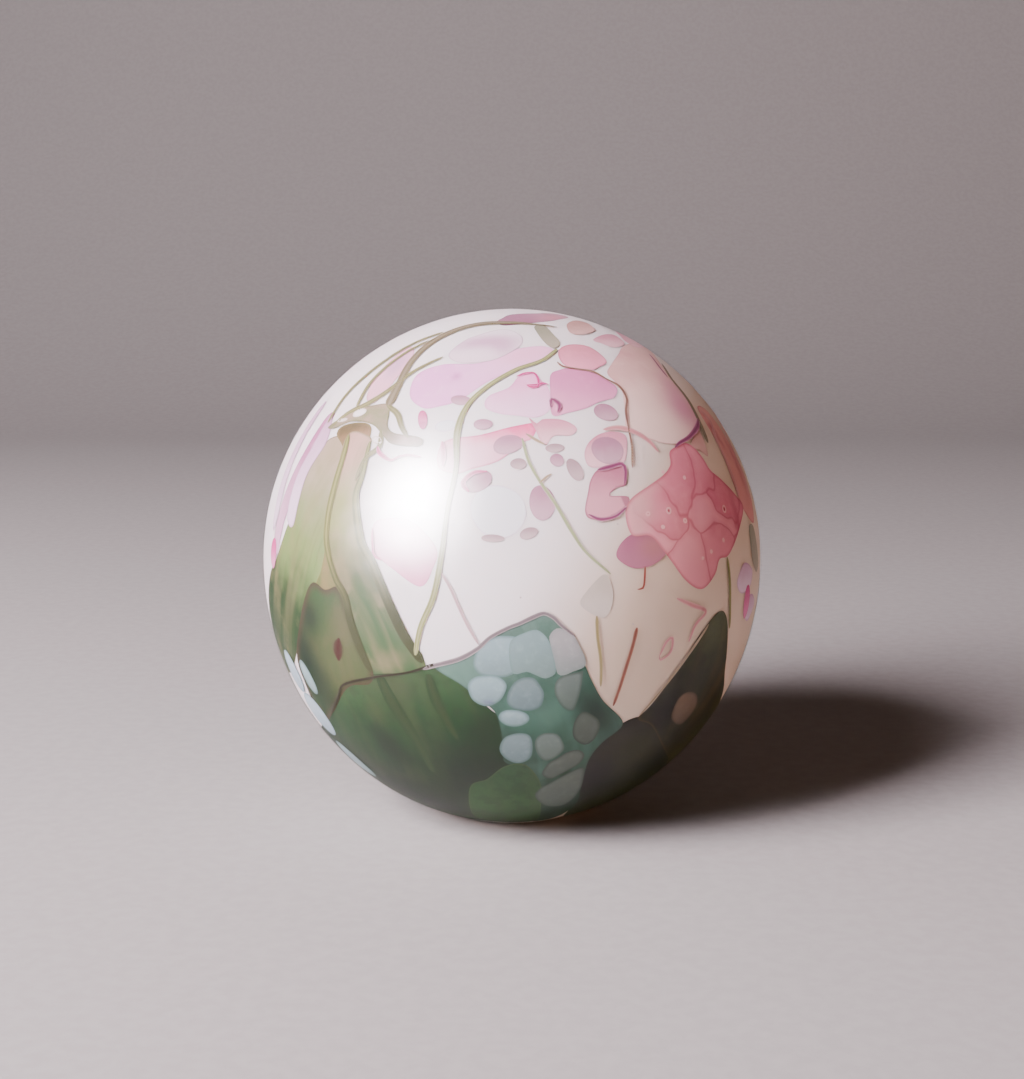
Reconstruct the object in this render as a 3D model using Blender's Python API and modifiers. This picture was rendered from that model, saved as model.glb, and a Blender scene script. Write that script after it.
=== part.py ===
"""Glass ball ornament: an opal-white blown ball with a garden of coloured glass picked up on it.

The ball is built as it is made in the hot shop. A hollow opal core carries thin glass shards
(leaves and petals), then a second layer of dots, a rose and pulled threads, and a clear
satin gather covers them all. The pipe opening stays at the base, inside a ground flat rim.

Metres, +Z up. The origin is the centre of the base, and the front of the garden faces -Y.
Places on the ball are (longitude, latitude) in degrees: longitude 0 is the front and grows
to the right, latitude 90 is the top.
"""

import math

import bmesh
import bpy
from mathutils import Matrix, Vector

# Driving dimensions
WIDTH = 0.100
LOWER_STRETCH = 1.07  # the lower half hangs a little long, as hot glass does
BASE_RIM_RADIUS = 0.014
OPENING_RADIUS = 0.008
COLLAR_RADIUS = 0.0106
CASING = 0.0008
INLAY = 0.0005
GAP = 0.0003
CORE_WALL = 0.0033

# Depths below the outer surface, worked inwards
UPPER_LAYER = CASING + GAP
LOWER_LAYER = UPPER_LAYER + INLAY + GAP
CORE_OUTSIDE = LOWER_LAYER + INLAY + GAP
CORE_INSIDE = CORE_OUTSIDE + CORE_WALL

# How finely the round forms are drawn
TURN_STEPS = 40
ARC_STEP = 9
ARC_STOP = -63
LAYER_STOP = -72
OVAL_SIDES = 14
OUTLINE_STEP = 3.5
WAFER_NEAR = 0.012
WAFER_FAR = 0.062
MERGE = 0.00005

RADIUS = WIDTH / 2
CENTRE_HEIGHT = RADIUS * LOWER_STRETCH * math.sqrt(1 - (BASE_RIM_RADIUS / RADIUS) ** 2)

# Glass colours: linear red, green, blue, then roughness
GLASS = {
    "opal_white": ((0.87, 0.83, 0.82), 0.30),
    "clear_satin": ((0.95, 0.95, 0.95), 0.35),
    "leaf_green": ((0.16, 0.24, 0.13), 0.32),
    "leaf_tan": ((0.50, 0.46, 0.33), 0.32),
    "leaf_dark": ((0.06, 0.11, 0.06), 0.32),
    "leaf_brown": ((0.07, 0.06, 0.04), 0.32),
    "teal": ((0.16, 0.30, 0.24), 0.32),
    "opal_blue": ((0.45, 0.52, 0.55), 0.28),
    "rose_red": ((0.46, 0.17, 0.19), 0.30),
    "petal_pink": ((0.75, 0.52, 0.56), 0.32),
    "petal_mauve": ((0.48, 0.27, 0.36), 0.32),
    "petal_pale": ((0.68, 0.56, 0.55), 0.32),
    "vine_olive": ((0.38, 0.40, 0.25), 0.30),
    "thread_brown": ((0.24, 0.12, 0.09), 0.30),
    "thread_red": ((0.35, 0.07, 0.06), 0.30),
}

# Shards of the lower layer: colour, then the outline's corners
SHARDS = {
    "leaf_far_left": ("leaf_green", [
        (-56, 32), (-58, 20), (-63, 5), (-72, -6), (-79, -17), (-71, -22),
        (-57, -13), (-51, -2), (-48, 8), (-48, 18), (-50, 28)]),
    "leaf_tall_left": ("leaf_tan", [
        (-52, 35), (-45, 36.5), (-41.5, 27), (-41.5, 14), (-39, 4), (-37, 0.5),
        (-42, -0.5), (-47.5, 0), (-45.8, 9), (-46, 18), (-47.5, 27)]),
    "leaf_tall_right": ("leaf_tan", [
        (-42.5, 35), (-37.5, 34), (-35, 27), (-35, 19), (-31.5, 9), (-25.5, -1),
        (-21, -10), (-23, -14), (-31, -14.5), (-33, -8), (-36, 2), (-39.5, 13),
        (-39.5, 24)]),
    "leaf_middle": ("leaf_green", [
        (-48, -3.5), (-39, -3), (-36.5, -7), (-34.5, -12), (-33.5, -16), (-40, -18.5),
        (-47, -25), (-54, -23), (-57, -17), (-54, -11)]),
    "leaf_low": ("leaf_dark", [
        (-49, -29), (-40, -21.5), (-30, -17), (-18, -15.5), (-13, -19.5), (-8, -25),
        (-3.5, -31), (-3.5, -36.5), (-10, -41), (-14, -50), (-17, -66), (-45, -69),
        (-68, -64), (-73, -45), (-62, -35)]),
    "leaf_under": ("leaf_green", [
        (-11, -50), (-7, -43), (-2, -39), (3.5, -41), (7, -49), (10, -65), (-13, -67)]),
    "teal_cluster": ("teal", [
        (-15.5, -12), (-5, -7), (6.5, -2), (12, -5), (15, -14), (19.5, -22), (26.5, -26.5),
        (22, -33), (19, -40), (21, -50), (23, -64), (14, -65), (10, -47), (6, -39),
        (0.5, -36), (-0.5, -29), (-5, -22.5), (-11, -17)]),
    "leaf_right": ("leaf_brown", [
        (52, -7), (58.5, -16), (65, -30), (72, -42), (68, -50), (47, -37.5), (37, -29.5),
        (31.5, -27), (39, -18), (45, -11)]),
    "leaf_right_low": ("leaf_dark", [
        (28.5, -28.5), (36, -32), (45, -40.5), (64, -54), (62, -66), (35, -67),
        (26, -55), (22.5, -43), (25, -35)]),
    "leaf_behind_left": ("leaf_green", [
        (-86, -12), (-90, 4), (-98, 18), (-108, 8), (-114, -10), (-112, -38),
        (-104, -64), (-84, -64), (-78, -47), (-81, -30)]),
    "leaf_behind_tall": ("leaf_tan", [
        (-118, -36), (-119, -8), (-126, 22), (-135, 36), (-142, 20), (-145, -5),
        (-142, -38), (-134, -64), (-118, -65)]),
    "leaf_behind_low": ("leaf_dark", [
        (150, -64), (147, -42), (140, -24), (126, -15), (112, -25), (104, -44),
        (108, -66), (130, -68)]),
    "leaf_behind_right": ("leaf_green", [
        (78, -65), (80, -46), (76, -30), (78, -14), (86, -1), (94, -12), (98, -34),
        (96, -64)]),
    "teal_cluster_behind": ("teal", [
        (-152, -14), (-165, -4), (179, -3), (166, -10), (159, -24), (161, -42),
        (168, -60), (-166, -62), (-152, -42)]),
    "petal_low_left": ("petal_pink", [
        (-29.5, 15.5), (-28.5, 9), (-19, 3.5), (-16, 8), (-16.5, 12.5), (-22, 16)]),
    "petal_lilac": ("petal_pink", [
        (-32, 45), (-34, 51), (-27, 53.5), (-12, 54), (1, 58), (14, 60.5), (6, 54),
        (-7, 49.5), (-18, 45.5), (-25, 42.5)]),
    "petal_milky": ("petal_pale", [
        (-26, 57.5), (-20, 65), (-4, 69), (4, 66), (1, 61.5), (-8, 57.5), (-19, 56)]),
    "petal_centre": ("petal_pink", [
        (-7, 43), (-2, 47.5), (6, 50), (10, 46), (9, 41), (4.5, 39.2), (-2, 40)]),
    "petal_mauve_top": ("petal_mauve", [
        (12.5, 41), (13.5, 47), (17, 51), (28, 51.5), (34, 47.5), (27, 43.5), (19, 42)]),
    "petal_band": ("petal_pink", [
        (-17, 29), (-16.5, 34), (-8, 35.5), (0, 37), (2.5, 34.5), (-3, 30.5),
        (-9.5, 28.5)]),
    "petal_large": ("petal_pale", [
        (38.5, 53), (46, 58), (62, 59), (70, 56), (66.5, 50), (64.5, 42), (61, 36.5),
        (53, 34.5), (46, 34), (40, 36.5), (35, 36.5), (34.5, 41), (38, 47.5)]),
    "petal_small_top": ("petal_mauve", [
        (19, 55), (25, 60.5), (37, 61), (37, 56), (28.5, 54.2), (21, 54)]),
    "petal_side": ("petal_mauve", [
        (16.5, 18), (17, 24), (20, 27.5), (25.5, 28.3), (26, 24), (24.5, 20.5), (21, 18)]),
    "petal_low_right": ("petal_mauve", [
        (22, 9.5), (24, 13.5), (29, 15), (32, 11.5), (30.5, 7.5), (26, 6.5)]),
    "petal_left_limb": ("petal_pink", [
        (-60, 40), (-63, 30), (-66.5, 20), (-70, 8), (-67, 5), (-62.5, 13), (-60.5, 22),
        (-58.5, 33)]),
    "petal_top_left": ("petal_pink", [
        (-49, 44), (-53, 52), (-51, 59), (-43.5, 56), (-42, 49), (-44, 43.5)]),
    "petal_right_limb": ("petal_pink", [
        (70, 40), (76, 35), (79, 24), (73, 13), (68.5, 20), (68.5, 31)]),
    "petal_behind_large": ("petal_pale", [
        (118, 48), (126, 58), (148, 62), (156, 52), (144, 45), (130, 44)]),
    "petal_behind_mauve": ("petal_mauve", [
        (177, 40), (-171, 49), (-158, 45), (-159, 34), (-170, 29)]),
}

# Shards of the upper layer
UPPER_SHARDS = {
    "rose": ("rose_red", [
        (45, 33), (55.5, 29), (62, 21.5), (64, 15), (59, 9), (52, 4), (47.5, 0.5),
        (41, 1), (36, 5), (32, 11), (29.5, 17), (31, 23.5), (37, 26.5)]),
    "rose_behind": ("rose_red", [
        (136, 28), (142, 37), (152, 41), (163, 37), (168, 27), (161, 14), (149, 9),
        (139, 16)]),
    "vine_knot": ("vine_olive", [
        (-56, 37), (-51, 41), (-43, 42), (-36, 40.5), (-31, 36.5), (-23.5, 35.5),
        (-23, 33), (-31.5, 33), (-40, 34.5), (-48, 36.5)]),
}

# Oval pieces: layer, colour, centre, width and height in millimetres, turn in degrees
OVALS = {
    "petal_crown": (LOWER_LAYER, "petal_mauve", (18, 76), 15.0, 6.0, 15),
    "dot_1": (UPPER_LAYER, "opal_blue", (-3.6, -10.6), 7.0, 6.6, 20),
    "dot_2": (UPPER_LAYER, "opal_blue", (4.6, -10.0), 6.4, 7.4, 0),
    "dot_3": (UPPER_LAYER, "opal_blue", (11.6, -9.6), 4.8, 6.8, 0),
    "dot_4": (UPPER_LAYER, "opal_blue", (-5.6, -18.0), 6.8, 5.4, -10),
    "dot_5": (UPPER_LAYER, "opal_blue", (3.2, -18.8), 6.4, 5.6, 40),
    "dot_7": (UPPER_LAYER, "opal_blue", (12.0, -18.6), 5.0, 7.6, 0),
    "dot_8": (UPPER_LAYER, "opal_blue", (17.2, -28.0), 5.2, 7.4, 0),
    "dot_9": (UPPER_LAYER, "opal_blue", (0.8, -32.8), 5.8, 7.0, 0),
    "dot_10": (UPPER_LAYER, "opal_blue", (9.2, -32.2), 5.0, 6.6, 0),
    "dot_11": (UPPER_LAYER, "opal_blue", (14.6, -38.6), 7.0, 5.2, 25),
    "dot_12": (UPPER_LAYER, "opal_blue", (14.4, -47.6), 7.0, 9.0, -20),
    "dot_right": (UPPER_LAYER, "opal_blue", (45.7, -27.2), 6.2, 8.0, -20),
    "dot_limb_1": (UPPER_LAYER, "opal_blue", (-65, -23), 5.6, 8.0, 15),
    "dot_limb_3": (UPPER_LAYER, "opal_blue", (-60, -32), 7.0, 9.0, 20),
}

# Pulled threads: colour, width in millimetres, then the route
THREADS = {
    "vine_main": ("vine_olive", 1.9, [
        (19.5, 60), (11, 56), (1, 53), (-9, 47), (-13, 42), (-14, 36), (-13, 28),
        (-14, 19), (-14.5, 11), (-16, 2), (-19, -5), (-20.5, -10)]),
    "vine_branch": ("vine_olive", 0.8, [(-12.6, 5.5), (-11.4, 2), (-9.5, -3), (-7, -7)]),
    "vine_top_left": ("vine_olive", 2.4, [
        (6, 71.5), (-9, 72), (-33, 71), (-40, 64), (-41.5, 57), (-39, 50), (-38.5, 45)]),
    "thread_brown": ("thread_brown", 0.8, [
        (18, 53.5), (28, 52.8), (34.5, 49), (35.5, 45), (31.5, 37), (30.5, 32), (28, 27.5)]),
    "vine_right": ("vine_olive", 1.2, [(67, 50), (63, 42), (60.5, 36)]),
    "vine_right_low": ("vine_olive", 1.0, [(53.5, 3), (54.2, -2), (56, -6), (55.5, -10)]),
    "tendril": ("vine_olive", 0.8, [
        (3.5, 35), (6, 27.5), (9, 22), (12, 15), (16, 9.5), (20, 6.5)]),
    "stamen_olive": ("vine_olive", 0.7, [(17.6, -2.7), (18.5, -7.6), (19.6, -13), (20, -19)]),
    "stamen_red": ("thread_red", 0.8, [(26.6, -6.4), (25, -11.5), (24, -18), (23.3, -23)]),
    "leaf_line": ("thread_brown", 0.8, [
        (-48.5, -27), (-44.5, -22), (-40, -19.5), (-30, -15.8), (-20, -14), (-16, -12.5)]),
    "vine_behind": ("vine_olive", 1.9, [
        (-152, 62), (-146, 48), (-149, 30), (-152, 12), (-150, -4), (-156, -12)]),
}


def clear_scene():
    for thing in list(bpy.data.objects):
        bpy.data.objects.remove(thing, do_unlink=True)


def new_collection(name, cutters=False):
    made = bpy.data.collections.new(name)
    made.hide_render = cutters
    bpy.context.scene.collection.children.link(made)
    return made


def glass(colour):
    """The named glass as a material, made once."""
    if colour in bpy.data.materials:
        return bpy.data.materials[colour]
    tint, roughness = GLASS[colour]
    made = bpy.data.materials.new(colour)
    made.use_nodes = True
    shader = made.node_tree.nodes["Principled BSDF"]
    shader.inputs["Base Color"].default_value = (*tint, 1)
    shader.inputs["Roughness"].default_value = roughness
    made.diffuse_color = (*tint, 1)
    return made


def add_object(name, mesh, collection, colour=None):
    made = bpy.data.objects.new(name, mesh)
    collection.objects.link(made)
    if colour:
        mesh.materials.append(glass(colour))
    else:
        made.hide_render = True
        made.display_type = "WIRE"
    return made


# --- Turned bodies -------------------------------------------------------------------


def ball_point(depth, arc):
    """Radius and height of the ball's surface at a depth, arc degrees above the equator."""
    angle = math.radians(arc)
    across = RADIUS - depth
    rise = across if arc >= 0 else RADIUS * LOWER_STRETCH - depth
    return across * math.cos(angle), CENTRE_HEIGHT + rise * math.sin(angle)


def ball_arc(depth):
    """The surface from just below the top down to where the base begins."""
    return [ball_point(depth, arc) for arc in range(90 - ARC_STEP, ARC_STOP - 1, -ARC_STEP)]


def arc_at_radius(depth, radius):
    """Where the lower half has narrowed to this radius, in degrees."""
    return -math.degrees(math.acos(radius / (RADIUS - depth)))


def arc_at_floor(depth):
    """Where the surface meets the ground plane, in degrees."""
    return -math.degrees(math.asin(CENTRE_HEIGHT / (RADIUS * LOWER_STRETCH - depth)))


def top_of(depth):
    return (0.0, CENTRE_HEIGHT + RADIUS - depth)


def turned(name, profile, collection, colour=None):
    """A body of revolution round Z from a profile of (radius, height) points."""
    mesh = bpy.data.meshes.new(name)
    points = [(radius, 0, height) for radius, height in profile]
    mesh.from_pydata(points, [(i, i + 1) for i in range(len(points) - 1)], [])
    body = add_object(name, mesh, collection, colour)
    screw = body.modifiers.new("Turn", "SCREW")
    screw.steps = screw.render_steps = TURN_STEPS
    screw.use_merge_vertices = True
    screw.merge_threshold = MERGE
    return body


def casing_profile():
    outer = [top_of(0), *ball_arc(0), (BASE_RIM_RADIUS, 0.0)]
    inner = [ball_point(CASING, arc_at_floor(CASING)), *reversed(ball_arc(CASING))]
    return [*outer, *inner, top_of(CASING)]


def core_profile():
    shoulder = ball_point(CORE_OUTSIDE, arc_at_radius(CORE_OUTSIDE, COLLAR_RADIUS))
    throat = ball_point(CORE_INSIDE, arc_at_radius(CORE_INSIDE, OPENING_RADIUS))
    outer = [top_of(CORE_OUTSIDE), *ball_arc(CORE_OUTSIDE), shoulder]
    collar = [(COLLAR_RADIUS, 0.0), (OPENING_RADIUS, 0.0), throat]
    return [*outer, *collar, *reversed(ball_arc(CORE_INSIDE)), top_of(CORE_INSIDE)]


def layer_profile(depth):
    """The shell that every inlay of one layer is cut from."""
    below = depth + INLAY
    outer = [top_of(depth), *ball_arc(depth), ball_point(depth, LAYER_STOP)]
    inner = [ball_point(below, LAYER_STOP), *reversed(ball_arc(below)), top_of(below)]
    return [*outer, *inner]


# --- Inlays --------------------------------------------------------------------------


def direction(place):
    """Unit vector from the ball's centre towards a (longitude, latitude)."""
    lon, lat = (math.radians(angle) for angle in place)
    return Vector((math.cos(lat) * math.sin(lon), -math.cos(lat) * math.cos(lon), math.sin(lat)))


def smooth_route(corners, cyclic):
    """Directions along a Catmull-Rom curve through the corners."""
    knots = [direction(corner) for corner in corners]
    count = len(knots)
    route = []
    for i in range(count if cyclic else count - 1):
        if cyclic:
            before, start, end, after = (knots[(i + k) % count] for k in (-1, 0, 1, 2))
        else:
            start, end = knots[i], knots[i + 1]
            before = knots[i - 1] if i else start * 2 - end
            after = knots[i + 2] if i + 2 < count else end * 2 - start
        pieces = max(1, round(math.degrees(start.angle(end)) / OUTLINE_STEP))
        for k in range(pieces):
            t = k / pieces
            blend = (
                start * 2
                + (end - before) * t
                + (before * 2 - start * 5 + end * 4 - after) * t**2
                + (start * 3 - before - end * 3 + after) * t**3
            )
            route.append((blend / 2).normalized())
    return route if cyclic else [*route, knots[-1]]


def ribbon(corners, width):
    """The outline of a thread of this width in metres, laid along the route."""
    route = smooth_route(corners, cyclic=False)
    half = width / 2 / RADIUS
    sides = []
    for i, here in enumerate(route):
        ahead = route[min(i + 1, len(route) - 1)]
        behind = route[max(i - 1, 0)]
        side = here.cross(ahead - behind).normalized()
        sides.append((here - side * half, here + side * half))
    return [left for left, _ in sides] + [right for _, right in reversed(sides)]


def local_frame(axis):
    """Matrix whose Z is the axis, X runs east and Y runs north on the ball."""
    east = Vector((0, 0, 1)).cross(axis).normalized()
    return Matrix((east, axis.cross(east), axis)).transposed()


def oval(place, width, height, turn):
    """The outline of an oval of this size in metres."""
    axis = direction(place)
    frame = local_frame(axis)
    spin = Matrix.Rotation(math.radians(turn), 3, "Z")
    outline = []
    for i in range(OVAL_SIDES):
        angle = math.tau * i / OVAL_SIDES
        offset = Vector((width / 2 * math.cos(angle), height / 2 * math.sin(angle), RADIUS))
        outline.append((frame @ spin @ offset).normalized())
    return outline


def weld(mesh):
    """Joins a filled curve's caps to its sides."""
    form = bmesh.new()
    form.from_mesh(mesh)
    bmesh.ops.remove_doubles(form, verts=form.verts, dist=MERGE)
    bmesh.ops.recalc_face_normals(form, faces=form.faces)
    form.to_mesh(mesh)
    form.free()


def wafer(name, outline, collection, colour):
    """A solid that widens outwards from the ball's centre, with the outline as its section."""
    axis = sum(outline, Vector()).normalized()
    frame = local_frame(axis)
    curve = bpy.data.curves.new(name, "CURVE")
    curve.dimensions = "2D"
    curve.fill_mode = "BOTH"
    curve.extrude = (WAFER_FAR - WAFER_NEAR) / 2
    spline = curve.splines.new("POLY")
    spline.points.add(len(outline) - 1)
    spline.use_cyclic_u = True
    for point, way in zip(spline.points, outline):
        flat = frame.transposed() @ way
        point.co = (flat.x / flat.z * WAFER_FAR, flat.y / flat.z * WAFER_FAR, 0, 1)
    guide = bpy.data.objects.new(name + "_outline", curve)
    collection.objects.link(guide)
    evaluated = guide.evaluated_get(bpy.context.evaluated_depsgraph_get())
    mesh = bpy.data.meshes.new_from_object(evaluated)
    bpy.data.objects.remove(guide, do_unlink=True)
    weld(mesh)
    for vertex in mesh.vertices:
        near = vertex.co.z < 0
        shrink = WAFER_NEAR / WAFER_FAR if near else 1
        level = WAFER_NEAR if near else WAFER_FAR
        vertex.co = (vertex.co.x * shrink, vertex.co.y * shrink, level)
    mesh.materials.clear()
    solid = add_object(name, mesh, collection, colour)
    solid.matrix_world = Matrix.Translation((0, 0, CENTRE_HEIGHT)) @ frame.to_4x4()
    return solid


def inlay(name, outline, layer_shell, collection, colour):
    """One piece of glass: the part of its layer's shell that lies inside the outline."""
    piece = wafer(name, outline, collection, colour)
    cut = piece.modifiers.new("Layer", "BOOLEAN")
    cut.operation = "INTERSECT"
    cut.object = layer_shell
    return piece


def build():
    clear_scene()
    parts = new_collection("glass_ball_ornament")
    cutters = new_collection("cutters", cutters=True)
    turned("opal_core", core_profile(), parts, "opal_white")
    turned("clear_casing", casing_profile(), parts, "clear_satin")
    shells = {
        LOWER_LAYER: turned("lower_layer", layer_profile(LOWER_LAYER), cutters),
        UPPER_LAYER: turned("upper_layer", layer_profile(UPPER_LAYER), cutters),
    }
    bpy.context.view_layer.update()
    for layer, pieces in ((LOWER_LAYER, SHARDS), (UPPER_LAYER, UPPER_SHARDS)):
        for name, (colour, corners) in pieces.items():
            outline = smooth_route(corners, cyclic=True)
            inlay(name, outline, shells[layer], parts, colour)
    for name, (layer, colour, place, width, height, turn) in OVALS.items():
        outline = oval(place, width / 1000, height / 1000, turn)
        inlay(name, outline, shells[layer], parts, colour)
    for name, (colour, width, corners) in THREADS.items():
        inlay(name, ribbon(corners, width / 1000), shells[UPPER_LAYER], parts, colour)


build()
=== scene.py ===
# %% [markdown]
# # A glass ball with a garden inside its skin
#
# The object is a hand-blown ornament, 100 mm across. A glassblower gathers opal white glass, rolls
# it over thin broken sheets ("shards") of green, brown, teal and pink glass, then over dots and
# pulled threads, takes one thin gather of clear glass over everything and blows the ball. An acid
# bath turns the outside from wet gloss to satin.
#
# The scene follows the same order: opal core, leaf shards, teal shard with its dots, petals, the
# rose, threads, and last the clear skin. Every colour piece is its own sheet of glass.

# %%
import math

import bpy
import numpy as np
from mathutils import Matrix, Vector
from mathutils.geometry import delaunay_2d_cdt


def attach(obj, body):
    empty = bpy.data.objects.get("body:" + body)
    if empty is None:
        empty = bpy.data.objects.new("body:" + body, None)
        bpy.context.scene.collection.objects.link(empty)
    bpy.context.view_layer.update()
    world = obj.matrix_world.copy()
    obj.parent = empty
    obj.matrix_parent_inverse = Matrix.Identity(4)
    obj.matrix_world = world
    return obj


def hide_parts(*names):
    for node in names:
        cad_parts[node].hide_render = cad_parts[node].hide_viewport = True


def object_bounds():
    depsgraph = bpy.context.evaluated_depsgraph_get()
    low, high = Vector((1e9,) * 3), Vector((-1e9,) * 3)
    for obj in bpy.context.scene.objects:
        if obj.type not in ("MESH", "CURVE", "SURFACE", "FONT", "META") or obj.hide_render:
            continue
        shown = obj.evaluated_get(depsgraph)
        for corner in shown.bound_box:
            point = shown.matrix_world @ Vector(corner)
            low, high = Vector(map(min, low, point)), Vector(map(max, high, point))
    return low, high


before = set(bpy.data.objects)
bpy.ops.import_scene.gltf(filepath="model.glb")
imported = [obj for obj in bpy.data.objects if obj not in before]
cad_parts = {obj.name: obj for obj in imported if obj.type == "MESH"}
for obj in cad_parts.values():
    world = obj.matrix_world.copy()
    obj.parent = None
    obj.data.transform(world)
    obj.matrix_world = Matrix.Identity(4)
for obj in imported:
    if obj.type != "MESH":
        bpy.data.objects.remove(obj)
cad_low, cad_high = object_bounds()
print("frame loaded:", len(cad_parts), "pieces,", [round(1000 * (h - l), 1) for l, h in zip(cad_low,
    cad_high)], "mm")

# %% [markdown]
# ## Where things are on a ball
# A blown ball has no corners to measure from, so every place is a (longitude, latitude) in degrees
# from the ball's centre. Longitude 0 is the front, it grows to the right, and latitude 90 is the
# top. The upper half is a true hemisphere. The lower half hangs 7 percent longer, because hot glass
# sags a little on the pipe. Both sizes are read back from the frame.

# %%
MM = 0.001
RADIUS = (cad_high[0] - cad_low[0]) / 2
CENTRE = Vector((0, 0, cad_high[2] - RADIUS))
BASE_RIM = 14 * MM
STRETCH = CENTRE.z / RADIUS / math.sqrt(1 - (BASE_RIM / RADIUS) ** 2)


def direction(lon, lat):
    lon, lat = math.radians(lon), math.radians(lat)
    return Vector((math.cos(lat) * math.sin(lon), -math.cos(lat) * math.cos(lon), math.sin(lat)))


def on_ball(ways, depth):
    """Points where these directions pass the surface that lies depth metres under the outside."""
    ways = np.asarray(ways, float).reshape(-1, 3)
    across = RADIUS - depth
    upright = np.where(ways[:, 2] > 0, across, RADIUS * STRETCH - depth)
    reach = 1 / np.sqrt((ways[:, 0] ** 2 + ways[:, 1] ** 2) / across**2 + ways[:, 2] ** 2 / upright**2)
    return ways * reach[:, None] + np.array(CENTRE)


print("radius", round(RADIUS / MM, 2), "mm, lower half stretched by", round(STRETCH, 3))

# %% [markdown]
# ## Layers
# The real casing is about 1 mm thick, but clear glass magnifies what it covers until the colour
# seems to sit right at the surface, out to the very edge of the ball. So the colour sheets are laid
# just under the skin, each layer a thirtieth of a millimetre above the last: enough to stay apart,
# too little to see as a step.

# %%
CORE_DEPTH = 0.34 * MM
LAYER_STEP = 0.034 * MM

# Triangle size of a sheet's net, finer where the pieces or their pattern are finer
SHEET_NET, ROSE_NET, SMALL_NET, GAP_NET, BUBBLE_NET = 1.5 * MM, 1.2 * MM, 0.9 * MM, 0.5 * MM, 0.3 * MM


def layer(number):
    return CORE_DEPTH - number * LAYER_STEP


def smooth_line(corners, closed, spacing=0.7 * MM):
    """Directions along a soft curve through (lon, lat) corners, with any third value carried along."""
    knots = [np.array([*direction(*corner[:2]), *corner[2:]], float) for corner in corners]
    count = len(knots)
    line = []
    for i in range(count if closed else count - 1):
        if closed:
            before, start, end, after = (knots[(i + k) % count] for k in (-1, 0, 1, 2))
        else:
            start, end = knots[i], knots[i + 1]
            before = knots[i - 1] if i else 2 * start - end
            after = knots[i + 2] if i + 2 < count else 2 * end - start
        pieces = max(1, round(np.linalg.norm((end - start)[:3]) * RADIUS / spacing))
        for t in np.arange(pieces) / pieces:
            line.append((
                2 * start + (end - before) * t + (2 * before - 5 * start + 4 * end - after) * t**2
                + (3 * start - before - 3 * end + after) * t**3) / 2)
    if not closed:
        line.append(knots[-1])
    line = np.array(line)
    line[:, :3] /= np.linalg.norm(line[:, :3], axis=1)[:, None]
    return line


def local_axes(axis):
    """East, north and outwards at this direction, as the columns of a matrix."""
    east = Vector((0, 0, 1)).cross(axis).normalized()
    return Matrix((east, axis.cross(east), axis)).transposed()


# %% [markdown]
# ## Measuring inside a sheet
# Glass colour changes where the sheet was pulled thin: paler towards a torn end, darker along a
# folded edge, streaked along the pull. To paint that, every sheet's mesh carries measurements:
# `edge` is the distance to its outline, `along` runs 0 to 1 down its grain and `across` is the
# distance from the grain line, all in millimetres. `warm` and `dark` are soft patches where a sheet
# picked up a second colour; on the two low left leaves some `dark` patches are painted shade instead.

# %%
def nearest_on_line(points, line, closed):
    """For each point: distance to the line, length travelled along it, and side, in metres."""
    starts = line if closed else line[:-1]
    ends = np.roll(line, -1, axis=0) if closed else line[1:]
    run = ends - starts
    length = np.maximum(np.linalg.norm(run, axis=1), 1e-9)
    share = np.einsum("psk,sk->ps", points[:, None] - starts[None], run) / length**2
    share = np.clip(share, 0, 1)
    gap = points[:, None] - (starts[None] + share[..., None] * run[None])
    distance = np.linalg.norm(gap, axis=2)
    best = distance.argmin(axis=1)
    rows = np.arange(len(points))
    travelled = np.concatenate([[0], np.cumsum(length)])[best] + share[rows, best] * length[best]
    outward = points - np.array(CENTRE)
    side = np.sign(np.einsum("pk,pk->p", np.cross(run[best], outward), gap[rows, best]))
    return distance[rows, best], travelled / length.sum(), side


def soft_patches(points, patches):
    """Strength 0 to 1 at each point from oval patches (lon, lat, width, height, turn, strength), in mm."""
    total = np.zeros(len(points))
    ways = (points - np.array(CENTRE)) / np.linalg.norm(points - np.array(CENTRE), axis=1)[:, None]
    for lon, lat, width, height, turn, strength in patches:
        axes = np.array(local_axes(direction(lon, lat)))
        east, north, out = (ways @ axes[:, k] for k in range(3))
        angle = math.radians(turn)
        x = (east * math.cos(angle) + north * math.sin(angle)) * RADIUS / MM / width
        y = (north * math.cos(angle) - east * math.sin(angle)) * RADIUS / MM / height
        bump = np.exp(-((x * x + y * y) ** 1.3) * 2) * (out > 0)
        total = total + (1 - total) * bump * strength
    return np.clip(total, 0, 1)


def store(mesh, **values):
    for name, numbers in values.items():
        mesh.attributes.new(name, "FLOAT", "POINT").data.foreach_set("value", np.asarray(numbers, np.float32))


def add_object(name, mesh, material, stands_for=(), ride=True):
    made = bpy.data.objects.new(name, mesh)
    bpy.context.scene.collection.objects.link(made)
    if material:
        mesh.materials.append(material)
    mesh.shade_smooth()
    if ride:
        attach(made, "root")
    if stands_for:
        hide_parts(*stands_for)
    return made


# %% [markdown]
# ## Cutting a sheet
# `sheet` takes an outline on the ball, fills it with a fine triangle net and bends the net onto its
# layer. The net is laid out on a flat plane that touches the ball in the middle of the sheet, where
# a Delaunay fill is easy, and each point then slides along its own radius to the ball.

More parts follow.
